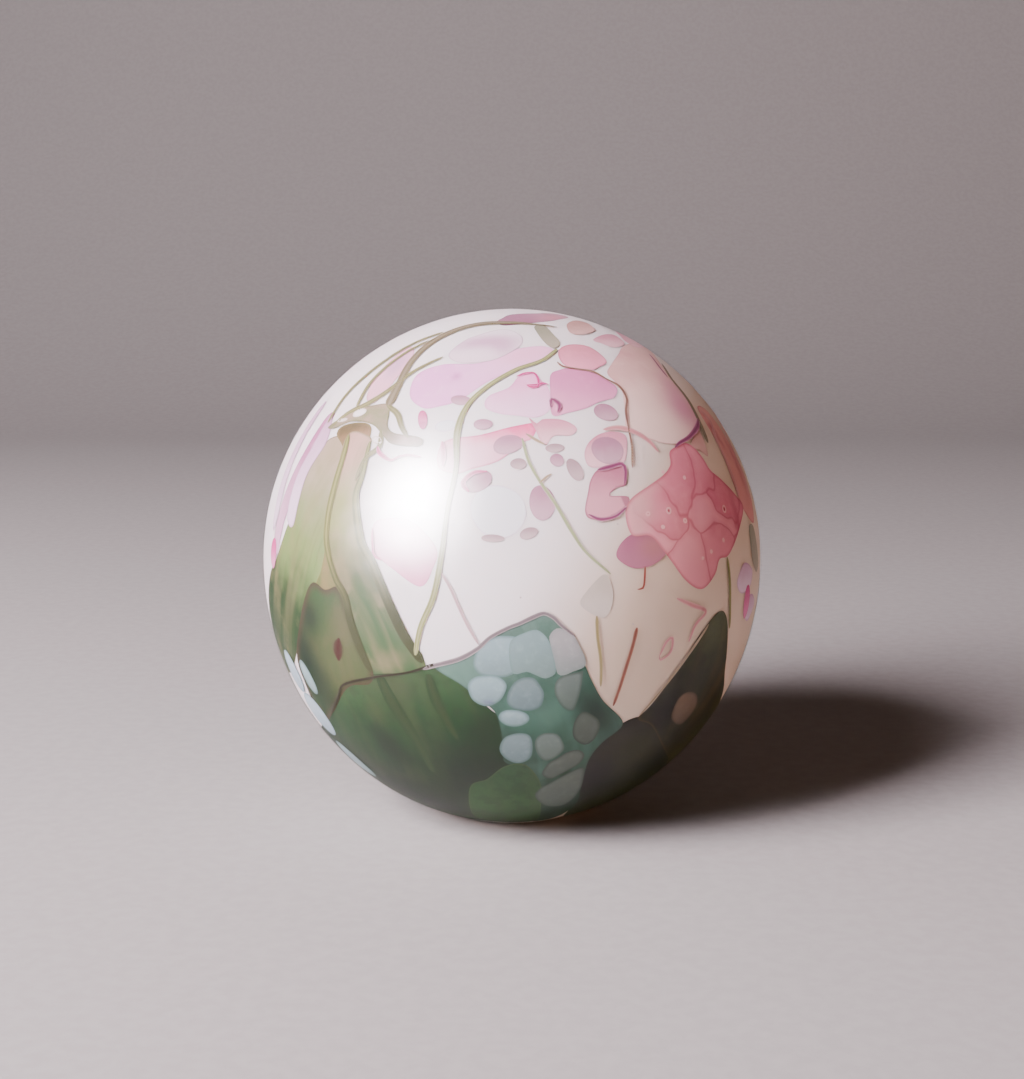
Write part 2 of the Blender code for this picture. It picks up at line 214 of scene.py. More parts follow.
# %%
def net_inside(outline, spacing):
    """Triangle net of a closed outline given as flat (x, y) points."""
    low, high = outline.min(axis=0), outline.max(axis=0)
    columns = np.arange(low[0], high[0], spacing)
    rows = np.arange(low[1], high[1], spacing * 0.87)
    grid = np.array([(x + spacing / 2 * (j % 2), y) for j, y in enumerate(rows) for x in columns])
    start, end = outline, np.roll(outline, -1, axis=0)
    if len(grid):
        px, py = grid[:, None, 0], grid[:, None, 1]
        crosses = (start[None, :, 1] > py) != (end[None, :, 1] > py)
        rise = np.where(end[:, 1] == start[:, 1], 1, end[:, 1] - start[:, 1])
        at = start[None, :, 0] + (py - start[None, :, 1]) * ((end - start)[:, 0] / rise)[None]
        inside = (crosses & (px < at)).sum(axis=1) % 2 == 1
        near = np.linalg.norm(grid[:, None] - outline[None], axis=2).min(axis=1) > spacing * 0.6
        grid = grid[inside & near]
    points = [Vector(p) for p in [*outline, *grid]]
    count = len(outline)
    edges = [(i, (i + 1) % count) for i in range(count)]
    found = delaunay_2d_cdt(points, edges, [list(range(count))], 1, 1e-7)
    return np.array([tuple(p) for p in found[0]]), found[2]


def sheet_mesh(name, line, depth, grain=None, warm=(), dark=(), spacing=SHEET_NET):
    axes = local_axes(Vector(line[:, :3].sum(axis=0)).normalized())
    matrix = np.array(axes)
    local = line[:, :3] @ matrix
    flat, faces = net_inside(local[:, :2] / local[:, 2:] * RADIUS, spacing)
    ways = np.column_stack([flat / RADIUS, np.ones(len(flat))]) @ matrix.T
    points = on_ball(ways, depth)
    mesh = bpy.data.meshes.new(name)
    mesh.from_pydata([tuple(p) for p in points], [], [tuple(f) for f in faces])
    edge, _, _ = nearest_on_line(points, on_ball(line[:, :3], depth), True)
    if grain is None:
        height = points[:, 2]
        along = (height.max() - height) / max(np.ptp(height), 1e-6)
        across = (ways @ matrix)[:, 0] * RADIUS
    else:
        gap, along, side = nearest_on_line(points, on_ball(smooth_line(grain, False)[:, :3], depth), False)
        across = gap * side
    store(mesh, edge=edge / MM, along=along, across=across / MM,
          warm=soft_patches(points, warm), dark=soft_patches(points, dark))
    return mesh


def sheet(name, corners, number, material, grain=None, warm=(), dark=(), spacing=SHEET_NET, stands_for=None):
    """One sheet of glass with this outline, on this layer."""
    mesh = sheet_mesh(name, smooth_line(corners, True), layer(number), grain, warm, dark, spacing)
    return add_object(name, mesh, material, (name,) if stands_for is None else stands_for)


def oval_line(lon, lat, width, height, turn=0, wobble=0.0, sides=28):
    """An oval drop's outline, in millimetres, a little off round where wobble says so."""
    axes = local_axes(direction(lon, lat))
    spin = Matrix.Rotation(math.radians(turn), 3, "Z")
    line = []
    for i in range(sides):
        angle = math.tau * i / sides
        reach = 1 + wobble * math.sin(2 * angle + lon) + wobble / 2 * math.sin(3 * angle + lat)
        offset = Vector((width / 2 * MM * math.cos(angle) * reach, height / 2 * MM * math.sin(angle) * reach,
            RADIUS))
        line.append((axes @ spin @ offset).normalized())
    return np.array(line)


def joined(name, meshes, material, stands_for=()):
    """Several small pieces of one glass as one object."""
    whole = bpy.data.meshes.new(name)
    points, faces, values, first = [], [], {}, 0
    for mesh in meshes:
        points += [tuple(v.co) for v in mesh.vertices]
        faces += [tuple(first + i for i in face.vertices) for face in mesh.polygons]
        for key in ("edge", "along", "across", "warm", "dark"):
            values.setdefault(key, []).extend(item.value for item in mesh.attributes[key].data)
        first += len(mesh.vertices)
        bpy.data.meshes.remove(mesh)
    whole.from_pydata(points, [], faces)
    store(whole, **values)
    return add_object(name, whole, material, stands_for)


def ovals(name, places, number, material, stands_for=(), spacing=SMALL_NET):
    """Drops (lon, lat, width, height, turn) of one glass, in one object."""
    meshes = [sheet_mesh(name, oval_line(*place, wobble=0.04), layer(number), spacing=spacing) for place in places]
    return joined(name, meshes, material, stands_for)


# %% [markdown]
# ## Pulling a thread
# Threads, vines and stamens are canes: a blob of hot colour pulled to a hair, laid on the ball and
# softened until it sinks in. A cane that has sunk in keeps its colour in the middle and thins to
# nothing at both sides, so each is a narrow ribbon with `across` from -1 to 1 over its width. Each
# corner of a route is (lon, lat, width in mm), because a hand-pulled cane is never one width.

# %%
CANE_COLUMNS = 6


def cane_mesh(name, route, depth):
    line = smooth_line(route, False, 0.6 * MM)
    ways, width = line[:, :3], np.maximum(line[:, 3], 0.12) * MM
    ahead = np.roll(ways, -1, axis=0)
    ahead[-1] = ways[-1]
    behind = np.roll(ways, 1, axis=0)
    behind[0] = ways[0]
    side = np.cross(ahead - behind, ways)
    side /= np.linalg.norm(side, axis=1)[:, None]
    end = np.minimum(np.arange(len(ways)), np.arange(len(ways))[::-1]) / 2.0
    width = width * np.clip(np.sqrt(end + 0.15), 0, 1)
    columns = np.linspace(-1, 1, CANE_COLUMNS + 1)
    points = np.concatenate([
        on_ball(w + s * (columns * half / 2 / RADIUS)[:, None], depth) for w, s, half in zip(ways, side, width)])
    count = CANE_COLUMNS + 1
    faces = [
        (r * count + c, r * count + c + 1, (r + 1) * count + c + 1, (r + 1) * count + c)
        for r in range(len(ways) - 1) for c in range(CANE_COLUMNS)]
    mesh = bpy.data.meshes.new(name)
    mesh.from_pydata([tuple(p) for p in points], [], faces)
    along = np.repeat(np.linspace(0, 1, len(ways)), count)
    across = np.tile(columns, len(ways))
    nothing = np.zeros(len(points))
    store(mesh, edge=np.repeat(width / MM, count), along=along, across=across, warm=nothing, dark=nothing)
    return mesh


def cane(name, route, number, material, stands_for=None):
    return add_object(name, cane_mesh(name, route, layer(number)), material,
        (name,) if stands_for is None else stands_for)


def canes(name, routes, number, material, stands_for=()):
    return joined(name, [cane_mesh(name, route, layer(number)) for route in routes], material, stands_for)


# %% [markdown]
# ## Mixing the glass
# Colours are written as sRGB hex and made linear in one place. `Recipe` is a small helper that adds
# a node, sets it and links it in one call, so a material reads from top to bottom as the steps that
# make the colour.

# %%
def linear(hex_colour):
    """Linear RGBA of an sRGB hex colour."""
    parts = [int(hex_colour[i:i + 2], 16) / 255 for i in (1, 3, 5)]
    return tuple(p / 12.92 if p <= 0.04045 else ((p + 0.055) / 1.055) ** 2.4 for p in parts) + (1.0,)


class Recipe:
    """A material being mixed: add(node type, settings and inputs) returns the node."""

    def __init__(self, name):
        self.material = bpy.data.materials.new(name)
        self.material.use_nodes = True
        self.tree = self.material.node_tree
        self.tree.nodes.clear()

    def add(self, kind, inputs=None, **settings):
        node = self.tree.nodes.new(kind)
        for key, value in settings.items():
            setattr(node, key, value)
        for key, value in (inputs or {}).items():
            if isinstance(value, bpy.types.NodeSocket):
                self.tree.links.new(value, node.inputs[key])
            else:
                node.inputs[key].default_value = value
        return node

    def number(self, name):
        """A measurement that the mesh carries."""
        return self.add("ShaderNodeAttribute", attribute_name=name).outputs["Fac"]

    def math(self, operation, a, b=0.0, c=0.0):
        return self.add("ShaderNodeMath", {0: a, 1: b, 2: c}, operation=operation).outputs[0]

    def between(self, value, low, high, start=0.0, end=1.0):
        """value softly mapped from low..high to start..end."""
        return self.add("ShaderNodeMapRange", {
            "Value": value, "From Min": low, "From Max": high, "To Min": start, "To Max": end},
            interpolation_type="SMOOTHSTEP").outputs["Result"]

    def mix(self, share, a, b, blend="MIX"):
        return self.add("ShaderNodeMix", {0: share, 6: a, 7: b}, data_type="RGBA", blend_type=blend).outputs[2]

    def place(self):
        """Place on the object in millimetres."""
        spot = self.add("ShaderNodeTexCoord").outputs["Object"]
        return self.add("ShaderNodeVectorMath", {0: spot, 3: 1000.0}, operation="SCALE").outputs[0]

    def noise(self, vector, size, detail=3.0, roughness=0.5):
        """Noise with features about size units of the vector across."""
        return self.add("ShaderNodeTexNoise", {
            "Vector": vector, "Scale": 1 / size, "Detail": detail, "Roughness": roughness}).outputs["Fac"]

    def finish(self, colour, roughness=0.45, bump=None, **extra):
        """Glass under the skin: satin, with the colour of its own body."""
        inputs = {"Base Color": colour, "Roughness": roughness, "IOR": 1.5, "Specular IOR Level": 0.12}
        if bump is not None:
            inputs["Normal"] = bump
        inputs.update(extra)
        shader = self.add("ShaderNodeBsdfPrincipled", inputs)
        self.add("ShaderNodeOutputMaterial", {"Surface": shader.outputs[0]})
        return self.material


# %% [markdown]
# ## Cane glass
# A cane is clearest in its middle and darker down both sides, and where it is thin the white shows
# through at its very edge. A long cane may darken towards its end.

# %%
def cane_glass(name, middle, side, outer=None, reach=0.55, end=None):
    """Colour by place across the cane: middle, darker sides, outer at the very edge, end where it ends."""
    mix = Recipe(name)
    place = mix.place()
    off = mix.math("ABSOLUTE", mix.number("across"))
    off = mix.math("ADD", off, mix.math("MULTIPLY_ADD", mix.noise(place, 2.5, 3), 0.4, -0.2))
    colour = mix.mix(mix.between(off, 0.1, reach), linear(middle), linear(side))
    if outer:
        colour = mix.mix(mix.between(off, reach, 1.0), colour, linear(outer))
    colour = mix.mix(mix.between(mix.noise(place, 3.5, 3), 0.5, 0.75, 0.0, 0.35), colour, linear(middle))
    if end:
        colour = mix.mix(mix.between(mix.number("along"), 0.35, 0.8), colour, linear(end))
    return mix.finish(colour, 0.4)


# %% [markdown]
# ## Opal white core
# Opal glass is white through and through, with very fine clouding where the gather folded on
# itself and the odd pinhead speck. Low on the right the white is painted beige, painted shade for
# the dim, warm side of the ball. It lets light in a little way, so its shadow side never goes hard.
# The core is turned from one profile: outside, collar, pipe opening and the blown hollow.

# %%
OPAL_WHITE = "#f4efef"


def opal_white_glass():
    mix = Recipe("opal_white_glass")
    place = mix.place()
    clouds = mix.between(mix.noise(place, 22, 2), 0.35, 0.65)
    white = mix.mix(clouds, linear(OPAL_WHITE), linear("#efe9e9"))
    streaks = mix.between(mix.noise(place, 5, 4, 0.6), 0.55, 0.75, 0.0, 0.35)
    white = mix.mix(streaks, white, linear("#eae3e4"))
    spot = mix.add("ShaderNodeSeparateXYZ", {0: place})
    # painted shade: the white turns beige towards the lower right, where the ball is dim and warm
    beige_shade_side = mix.math("MULTIPLY_ADD", spot.outputs[2], -0.5, mix.math("ADD", spot.outputs[0], 0.5 * CENTRE.z / MM))
    white = mix.mix(mix.between(beige_shade_side, -4, 24), white, linear("#e0cdb8"))
    specks = mix.add("ShaderNodeTexVoronoi", {"Vector": place, "Scale": 0.14}).outputs["Distance"]
    white = mix.mix(mix.between(specks, 0.030, 0.016), white, linear("#c9b9b6"))
    return mix.finish(white, 0.4, **{"Subsurface Weight": 0.25, "Subsurface Radius": (1.0, 0.85, 0.8),
                                     "Subsurface Scale": 2.0 * MM})


def turned(name, profile, material, stands_for, steps=192):
    """A body of revolution round Z from (radius, height) points, top to bottom on the outside."""
    mesh = bpy.data.meshes.new(name)
    mesh.from_pydata([(r, 0, z) for r, z in profile], [(i, i + 1) for i in range(len(profile) - 1)], [])
    body = add_object(name, mesh, material, stands_for)
    screw = body.modifiers.new("Turn", "SCREW")
    screw.steps = screw.render_steps = steps
    screw.use_merge_vertices = True
    screw.merge_threshold = 0.00002
    screw.use_smooth_shade = True
    return body


def arc(depth, top, bottom, step=2.0):
    """(radius, height) points down the ball's outline, from top to bottom in degrees."""
    across = RADIUS - depth
    points = []
    for angle in np.radians(np.arange(top, bottom - 0.01, -step)):
        rise = across if angle > 0 else RADIUS * STRETCH - depth
        points.append((max(across * math.cos(angle), 0.0), CENTRE.z + rise * math.sin(angle)))
    return points


HOLLOW_DEPTH = 6.0 * MM
COLLAR = 10.6 * MM
OPENING = 8.0 * MM
collar_angle = -math.degrees(math.acos(COLLAR / (RADIUS - CORE_DEPTH)))
throat_angle = -math.degrees(math.acos(OPENING / (RADIUS - HOLLOW_DEPTH)))
core_profile = [
    *((r, max(z, 0.3 * MM)) for r, z in arc(CORE_DEPTH, 90, collar_angle)), (COLLAR, 0.3 * MM), (COLLAR - 0.3 * MM,
    0.0), (OPENING + 0.4 * MM, 0.0),
    (OPENING, 0.4 * MM), *reversed(arc(HOLLOW_DEPTH, 90, throat_angle))]
turned("opal_ball", core_profile, opal_white_glass(), ("opal_core",))
print("opal core turned from", len(core_profile), "points")

# %% [markdown]
# ## Streaky leaf glass
# Leaf shards are sheet glass with green, tan and brown pulled through it. Along the leaf the colour
# goes from the pale tip to the dark foot: partly the glass's own colour, thin at the tip and thick at
# the foot, and partly painted light and shade, paler high on the ball and darker towards its bottom.
# Fine streaks follow the pull, slow clouds of the second colour drift through, and the torn edge is a
# thin darker line.

# %%
def streaky_glass(name, tip, middle, foot, warm, dark, rim, rim_width=0.5, rim_strength=0.6,
                  streak=0.35, cloud=0.3, turning=0.45, last=1.0, mottle=0.0):
    mix = Recipe(name)
    place = mix.place()
    along, across = mix.number("along"), mix.number("across")
    drift = mix.math("MULTIPLY_ADD", mix.noise(place, 9, 3), 0.30, -0.15)
    down = mix.math("ADD", along, drift)
    # tip, middle and foot: on the leaves partly own colour, partly painted light and shade, paler high up and
    # darker low down
    colour = mix.mix(mix.between(down, 0.0, turning), linear(tip), linear(middle))
    colour = mix.mix(mix.between(down, turning, last), colour, linear(foot))
    grain = mix.add("ShaderNodeCombineXYZ", {
        "X": across, "Y": mix.math("MULTIPLY", along, 4.0), "Z": 0.0}).outputs[0]
    fine = mix.noise(grain, 0.9, 4, 0.6)
    broad = mix.noise(grain, 3.2, 2, 0.5)
    colour = mix.mix(mix.between(broad, 0.4, 0.7, 0.0, streak), colour, linear(warm))
    colour = mix.mix(mix.between(fine, 0.5, 0.75, 0.0, streak * 0.6), colour, linear(dark))
    colour = mix.mix(mix.between(mix.noise(place, 6, 4, 0.55), 0.52, 0.72, 0.0, cloud), colour, linear(warm))
    if mottle:
        colour = mix.mix(mix.between(mix.noise(place, 3.0, 5, 0.6), 0.45, 0.62, 0.0, mottle), colour, linear(dark))
    colour = mix.mix(mix.number("warm"), colour, linear(warm))
    colour = mix.mix(mix.number("dark"), colour, linear(dark))
    edge = mix.math("ADD", mix.number("edge"), mix.math("MULTIPLY_ADD", fine, 0.3, -0.15))
    colour = mix.mix(mix.between(edge, rim_width, 0.0, 0.0, rim_strength), colour, linear(rim))
    return mix.finish(colour)


sheet("leaf_far_left", [
    (-51, 33.5), (-55, 31.5), (-57, 25.5), (-58, 18), (-61, 10), (-64.5, 4), (-69.5, -0.5), (-76.5, -12),
    (-78, -23), (-68, -23), (-58, -16), (-50, -4.5), (-45, 1.5), (-43, 10), (-43.5, 22), (-46, 33)], 1,
    streaky_glass("leaf_glass_far_left", "#b09a8a", "#71894b", "#15380f", "#8c8258", "#123010", "#5d5236",
                  turning=0.4, last=0.62, streak=0.3),
    grain=[(-48, 33), (-54, 18), (-59, 3), (-66, -12), (-74, -24)],
    warm=[(-50, 30, 5, 6, 0, 0.5), (-57, 12, 1.2, 9, 8, 0.5)], dark=[(-70, -14, 5, 12, 20, 0.4)])
sheet("leaf_tall_left", [
    (-52, 34), (-49.5, 36.5), (-41, 37), (-38.5, 33), (-38, 21.5), (-38, 12), (-39, 1), (-43, -1), (-47, -0.5),
    (-44.5, 4.5), (-43.8, 10), (-44.8, 16.5), (-45, 29)], 2,
    streaky_glass("leaf_glass_tan", "#57492c", "#a68a68", "#5e6a36", "#a07850", "#48461f", "#76703c",
                  turning=0.3, streak=0.3),
    grain=[(-46, 37), (-43, 28), (-41, 15), (-42, 0)],
    warm=[(-44, 34, 7, 2.5, 10, 0.5)], dark=[(-47, 35.5, 5, 1.6, 15, 0.5)])
sheet("leaf_tall_right", [
    (-47, 34), (-38.5, 34), (-37.5, 31.5), (-37, 25.5), (-36, 17), (-33, 11), (-25.5, -1.5), (-18.5, -12.5),
    (-22, -17), (-32, -18), (-36, -3.5), (-40, 3.5), (-43.3, 10), (-44.3, 22)], 3,
    streaky_glass("leaf_glass_pale", "#bb9484", "#8f9456", "#36552c", "#a08868", "#3a5424", "#5a6830",
                  turning=0.33, last=0.62, streak=0.3),
    grain=[(-42, 34), (-41, 22), (-38, 8), (-31, -4), (-26, -16)],
    warm=[(-27, -13, 5, 2.5, 20, 0.3), (-39, 5, 5, 6, 50, 0.35), (-38.5, 27, 1.6, 9, 0, 0.6)],
    dark=[(-33.5, 3.5, 2.4, 9, 32, 0.35)])
# painted shade in part: this leaf's colours and dark patches are painted darker than its glass, for the dim lower
# left of the ball
sheet("leaf_middle", [
    (-48, 1), (-43, 0.5), (-39, 1.5), (-36.5, -3.5), (-34, -11), (-31.5, -15.5), (-33, -19), (-40, -21),
    (-49.5, -29), (-58, -33), (-59, -23.5), (-58.5, -17.5), (-54, -9.5)], 4,
    streaky_glass("leaf_glass_middle", "#28481e", "#435029", "#173612", "#5a5234", "#0a230b", "#3e2e1e",
                  turning=0.5, streak=0.25, rim_width=1.8, rim_strength=0.8),
    grain=[(-44, 1), (-45, -8), (-44, -18), (-50, -30)],
    warm=[(-38.5, -6, 3, 6, 0, 0.6)], dark=[(-54, -16, 7, 14, 20, 1.0), (-49.5, -6, 5, 5, 30, 0.9)])
# painted shade in part: this leaf's colours and big dark patches, strongest low down, are painted darker than its
# glass, for the shade under the ball
sheet("leaf_low", [
    (-49.5, -28), (-42, -21.5), (-33, -17), (-22.5, -15), (-16.5, -12.8), (-12, -15), (-9, -18), (-5.5, -22),
    (-1.5, -26), (1, -33), (4, -38), (4, -46), (4, -66), (-45, -70), (-74, -66), (-80, -44),
    (-64, -36)], 3.5,
    streaky_glass("leaf_glass_dark", "#2b4c25", "#153a17", "#0c2610", "#3a4426", "#0b200d", "#122611",
                  turning=0.35, last=0.8, streak=0.35, mottle=0.25),
    grain=[(-30, -15), (-27, -26), (-26, -40), (-30, -60)],
    warm=[(-28, -18, 7, 5, 0, 0.65), (-25, -28, 2.5, 9, 12, 0.45), (-33, -26, 3, 4, 0, 0.5)],
    dark=[(-33, -36, 4.5, 7, 15, 0.85), (-8, -40, 12, 12, 0, 0.9), (-5, -27, 7, 6, 40, 0.5),
          (-30, -55, 22, 9, 0, 0.6)])
sheet("leaf_under", [
    (-13, -47), (-7, -43), (-2, -38.5), (3.5, -38), (8, -44), (10, -52), (13, -68), (-6, -70), (-18, -64)], 5,
    streaky_glass("leaf_glass_under", "#28482a", "#2f5228", "#264220", "#3c4c2a", "#142814", "#4c5c34",
                  turning=0.5, streak=0.3, rim_strength=0.35, mottle=0.35),
    grain=[(0, -38), (2, -50), (3, -68)])
print("leaf shards on the left are down")

# %% [markdown]
# ## Brown leaves at the right
# The right-hand leaves are the same sheet glass in nearly black brown, olive towards the tip, with
# one round olive blotch low down.

# %%
sheet("leaf_right", [
    (50, -5.5), (54, -7), (57.5, -15.5), (60.5, -21.5), (68, -29), (78, -38), (70, -50), (55, -44), (44, -37),
    (36, -30), (31, -27.5), (33.5, -24.5), (38.5, -17.5), (44, -10)], 3,
    streaky_glass("leaf_glass_brown", "#444c28", "#242812", "#343418", "#4c4022", "#12120a", "#544426",
                  turning=0.4, streak=0.35, rim_strength=0.5, mottle=0.3),
    grain=[(52, -6), (51, -18), (48, -30), (55, -46)],
    warm=[(57, -26, 2, 12, -25, 0.7)], dark=[(39, -27, 7, 7, 40, 0.9), (50, -36, 9, 6, 30, 0.6)])
sheet("leaf_right_low", [
    (31, -27), (36, -29.5), (42, -35), (50, -41), (66, -48), (72, -60), (60, -70), (33, -69), (24, -58),
    (20, -46), (19.5, -38), (22, -32), (26, -28.5)], 2,
    streaky_glass("leaf_glass_darkest", "#18160c", "#1c200f", "#2c3018", "#30321a", "#0f0e08", "#2c2818",
                  turning=0.5, streak=0.3, mottle=0.35),
    grain=[(33, -28), (32, -42), (38, -66)],
    warm=[(33, -37, 8, 8, 0, 0.75), (52, -58, 8, 10, -30, 0.5)], dark=[(24, -44, 6, 9, 0, 0.9)])
print("leaf shards on the right are down")

# %% [markdown]
# ## Teal shard
# One big shard of transparent teal under the cluster of dots. It is thin and watery at the left tip,
# goes green in the middle and almost bottle green at the foot, and it dies away to nothing at the
# top right, beside the third dot.

# %%
TEAL = [
    (-16.5, -13.2), (-11, -11.2), (-7, -8.7), (-1, -4.6), (3, -2.6), (6.5, -1.6), (9, -3), (13, -7), (15.5, -13),
    (17.5, -17), (20.5, -21.5), (27, -28), (23, -32.5), (21, -36), (20.5, -40), (22, -48), (25, -57), (22, -69),
    (12, -69), (8, -52.5), (3, -40.5), (-2, -37), (-2, -33), (-3.5, -24), (-7, -20.5), (-11, -17)]
sheet("teal_cluster", TEAL, 4,
      streaky_glass("teal_glass", "#5f7d71", "#3c6151", "#15311a", "#557a6a", "#122316", "#2a4236",
                    rim_width=0.45, rim_strength=0.5, turning=0.32, last=0.75, streak=0.25, mottle=0.15),
      grain=[(-4, -4), (2, -14), (9, -26), (13, -40), (17, -66)],
      warm=[(-11, -14, 7, 4, 20, 0.6), (8, -24, 5, 4, 0, 0.5)],
      dark=[(19, -24, 3.5, 8, 35, 0.8), (-3, -33, 5, 6, 0, 0.7), (15, -60, 12, 8, 0, 0.7)])

# %% [markdown]
# ## Opal dots
# Chips of pale opal glass melted into round dots. They push the teal aside as they sink, so the teal
# is squeezed into thin dark lines where two dots nearly touch. The one opal glass is painted in lit
# and shaded copies: near white with a blue cast high up and at the left edge, painted light, and
# greyer lower down, partly painted shade and partly the brown under them. Each dot is also painted
# darker towards its lower side, painted shade. dot_4 keeps a violet speck.

# %%
def opal_dot_glass(name, face, shade, rim, rim_width=0.7, rim_strength=0.55):
    mix = Recipe(name)
    place = mix.place()
    # painted shade: each dot darkens from its face colour to its shade colour towards its lower side
    down = mix.math("ADD", mix.number("along"), mix.math("MULTIPLY_ADD", mix.noise(place, 5, 2), 0.5, -0.25))
    colour = mix.mix(mix.between(down, 0.1, 1.1), linear(face), linear(shade))
    cloud = mix.between(mix.noise(place, 1.6, 4, 0.6), 0.45, 0.8, 0.0, 0.25)
    colour = mix.mix(cloud, colour, linear("#ffffff"), "SOFT_LIGHT")
    colour = mix.mix(mix.number("warm"), colour, linear("#5f5a80"))
    colour = mix.mix(mix.number("dark"), colour, linear(rim))
    colour = mix.mix(mix.between(mix.number("edge"), rim_width, 0.0, 0.0, rim_strength), colour, linear(rim))
    return mix.finish(colour, 0.35)


# lit and shaded copies of one opal glass: the pale and limb ones carry painted light, the low ones partly painted
# shade
DOT_LIGHT = opal_dot_glass("opal_dot_pale", "#8ba6aa", "#768e8d", "#3c6254")
DOT_MID = opal_dot_glass("opal_dot_middle", "#73898a", "#63787a", "#34574a")
DOT_GREY = opal_dot_glass("opal_dot_grey", "#66766f", "#586860", "#2e4839")
DOT_LOW = opal_dot_glass("opal_dot_low", "#535f55", "#47534a", "#223226")
DOT_LIMB = opal_dot_glass("opal_dot_limb", "#a6bcc6", "#8fa5b0", "#5c7c80")
DOT_MERGED = opal_dot_glass("opal_dot_merged", "#7f9a9a", "#728984", "#5a7e78", 0.5, 0.25)
DOT_FADING = opal_dot_glass("opal_dot_fading", "#a4a4a4", "#86938f", "#7c8e86", 0.9, 0.3)
DOT_ROSY = opal_dot_glass("opal_dot_rosy", "#66523e", "#53432f", "#2c2216")

# (layer, glass, outline) of each big dot
DOTS = {
    "dot_1": (6, DOT_LIGHT, [
        (-7.6, -10), (-6.6, -7.8), (-4, -6.4), (-1.6, -6), (1, -6.4), (1.8, -9), (1.8, -12), (0.6, -14),
        (-1.5, -15), (-4, -15), (-6.6, -14.6), (-8, -12.6)]),
    "dot_2": (7, DOT_MERGED, [
        (-0.2, -7), (2.5, -5.4), (5, -4.8), (7, -6.4), (8.2, -9), (9, -12), (9, -14.4), (7, -15.4),
        (5, -14.6), (3, -13.8), (0.3, -14.2), (-0.6, -10.5)]),
    "dot_3": (8, DOT_FADING, [
        (7.6, -6.2), (9, -4.6), (11, -5), (12.6, -6.2), (14.2, -9), (15.4, -11.5), (15.2, -13.2),
        (13, -14), (11, -14.8), (9.6, -14.4), (8.8, -11.5), (8, -8.5)]),
    "dot_4": (8, DOT_LIGHT, [
        (-9.4, -17), (-8, -15.2), (-5.5, -14.6), (-3, -14.8), (-1.2, -16.5), (-1.5, -18.5), (-2.7, -20.5),
        (-5, -21.8), (-7, -21.5), (-8.8, -20)]),
    "dot_5": (7, DOT_MID, [
        (0, -16.8), (2, -15.2), (4.5, -15.2), (6, -17), (6.9, -19), (6.4, -21.8), (4.5, -22.9), (2, -22.9),
        (-0.4, -22), (-1.2, -20)]),
    "dot_7": (7, DOT_GREY, [
        (9.5, -15.8), (11.5, -14.7), (14, -14.3), (15, -14), (15, -17.5), (14.5, -21), (13.8, -23.3),
        (12.5, -23.3), (10.5, -21.5), (9.1, -18.5)]),
    "dot_8": (7, DOT_LOW, [
        (14.2, -28.5), (14.6, -25.4), (16, -23.8), (18, -24.5), (20.4, -26.5), (20.9, -29), (20, -31.8),
        (18, -32.8), (15.2, -31)]),
    "dot_9": (8, DOT_MID, [
        (-2.9, -32), (-1.5, -29.6), (1.5, -28.6), (4, -29.2), (4.9, -31.5), (4.9, -35), (3.5, -36.8),
        (1, -37.3), (-1.5, -36), (-2.9, -34)]),
    "dot_10": (7, DOT_GREY, [
        (5.6, -32.5), (5.7, -30.2), (7.5, -28.8), (10.5, -29.2), (12, -31), (12.9, -33.5), (11, -36),
        (8.5, -36.8), (6.5, -35)]),
    "dot_11": (7, DOT_LOW, [
        (8.2, -41.2), (9.3, -38), (11.5, -36.2), (14.5, -34.3), (17, -34.2), (18.8, -36), (18, -38.5),
        (16, -40), (13.5, -41.6), (11, -43)]),
    "dot_12": (8, DOT_LOW, [
        (7.5, -50), (8.2, -46.8), (10.5, -45), (13.5, -42.8), (16.5, -40.9), (19.5, -40), (21, -44),
        (21.8, -48.5), (21.2, -53), (18.5, -55.8), (12.5, -55)]),
    "dot_right": (5, DOT_ROSY, [
        (42.5, -29.5), (41.5, -26.5), (42.5, -23.5), (45.5, -23), (49, -24.5), (51, -27.5), (50, -30.5),
        (47.5, -32)]),
}
for name, (number, glass, outline) in DOTS.items():
    speck = [(-5, -21, 1.4, 0.9, 0, 0.6)] if name == "dot_4" else ()
    sheet(name, outline, number, glass, warm=speck, spacing=SMALL_NET)
ovals("dot_limb_1", [(-64.5, -22, 6.2, 8.6, 15)], 5, DOT_LIMB, ("dot_limb_1",))
ovals("dot_limb_3", [(-60, -32, 7.6, 10.0, 20)], 6, DOT_LIMB, ("dot_limb_3",))
ovals("dots_small", [(0.4, -24.8, 5.4, 3.8, -12), (-55.5, -21.5, 3.6, 7.5, 20), (-57, -45, 5.5, 10, 30)], 6,
    DOT_LIGHT)
print("teal shard and dots are down")

# %% [markdown]
# ## Petal glass
# Petals are thin pink, lilac and mauve shards over the opal white. Thin glass lets the white
# through, so a petal is strongest at one end and fades to white at the other, and it often keeps a
# thin wine-red line where its edge folded.

# %%
def petal_glass(name, strong, pale, rim="#a0627c", start=0.0, end=1.0, rim_width=0.45, rim_strength=0.5, cloud=0.4,
                warm="#e3a9bd", dark="#8d5a74"):
    mix = Recipe(name)
    place = mix.place()
    noise = mix.noise(place, 6, 3)
    down = mix.math("ADD", mix.number("along"), mix.math("MULTIPLY_ADD", noise, 0.5, -0.25))
    colour = mix.mix(mix.between(down, start, end), linear(strong), linear(pale))
    colour = mix.mix(mix.between(mix.noise(place, 2.2, 4, 0.6), 0.5, 0.8, 0.0, cloud), colour, linear(pale))
    colour = mix.mix(mix.number("warm"), colour, linear(warm))
    colour = mix.mix(mix.number("dark"), colour, linear(dark))
    edge = mix.math("ADD", mix.number("edge"), mix.math("MULTIPLY_ADD", noise, 0.5, -0.25))
    colour = mix.mix(mix.between(edge, rim_width, 0.0, 0.0, rim_strength), colour, linear(rim))
    return mix.finish(colour, 0.4)


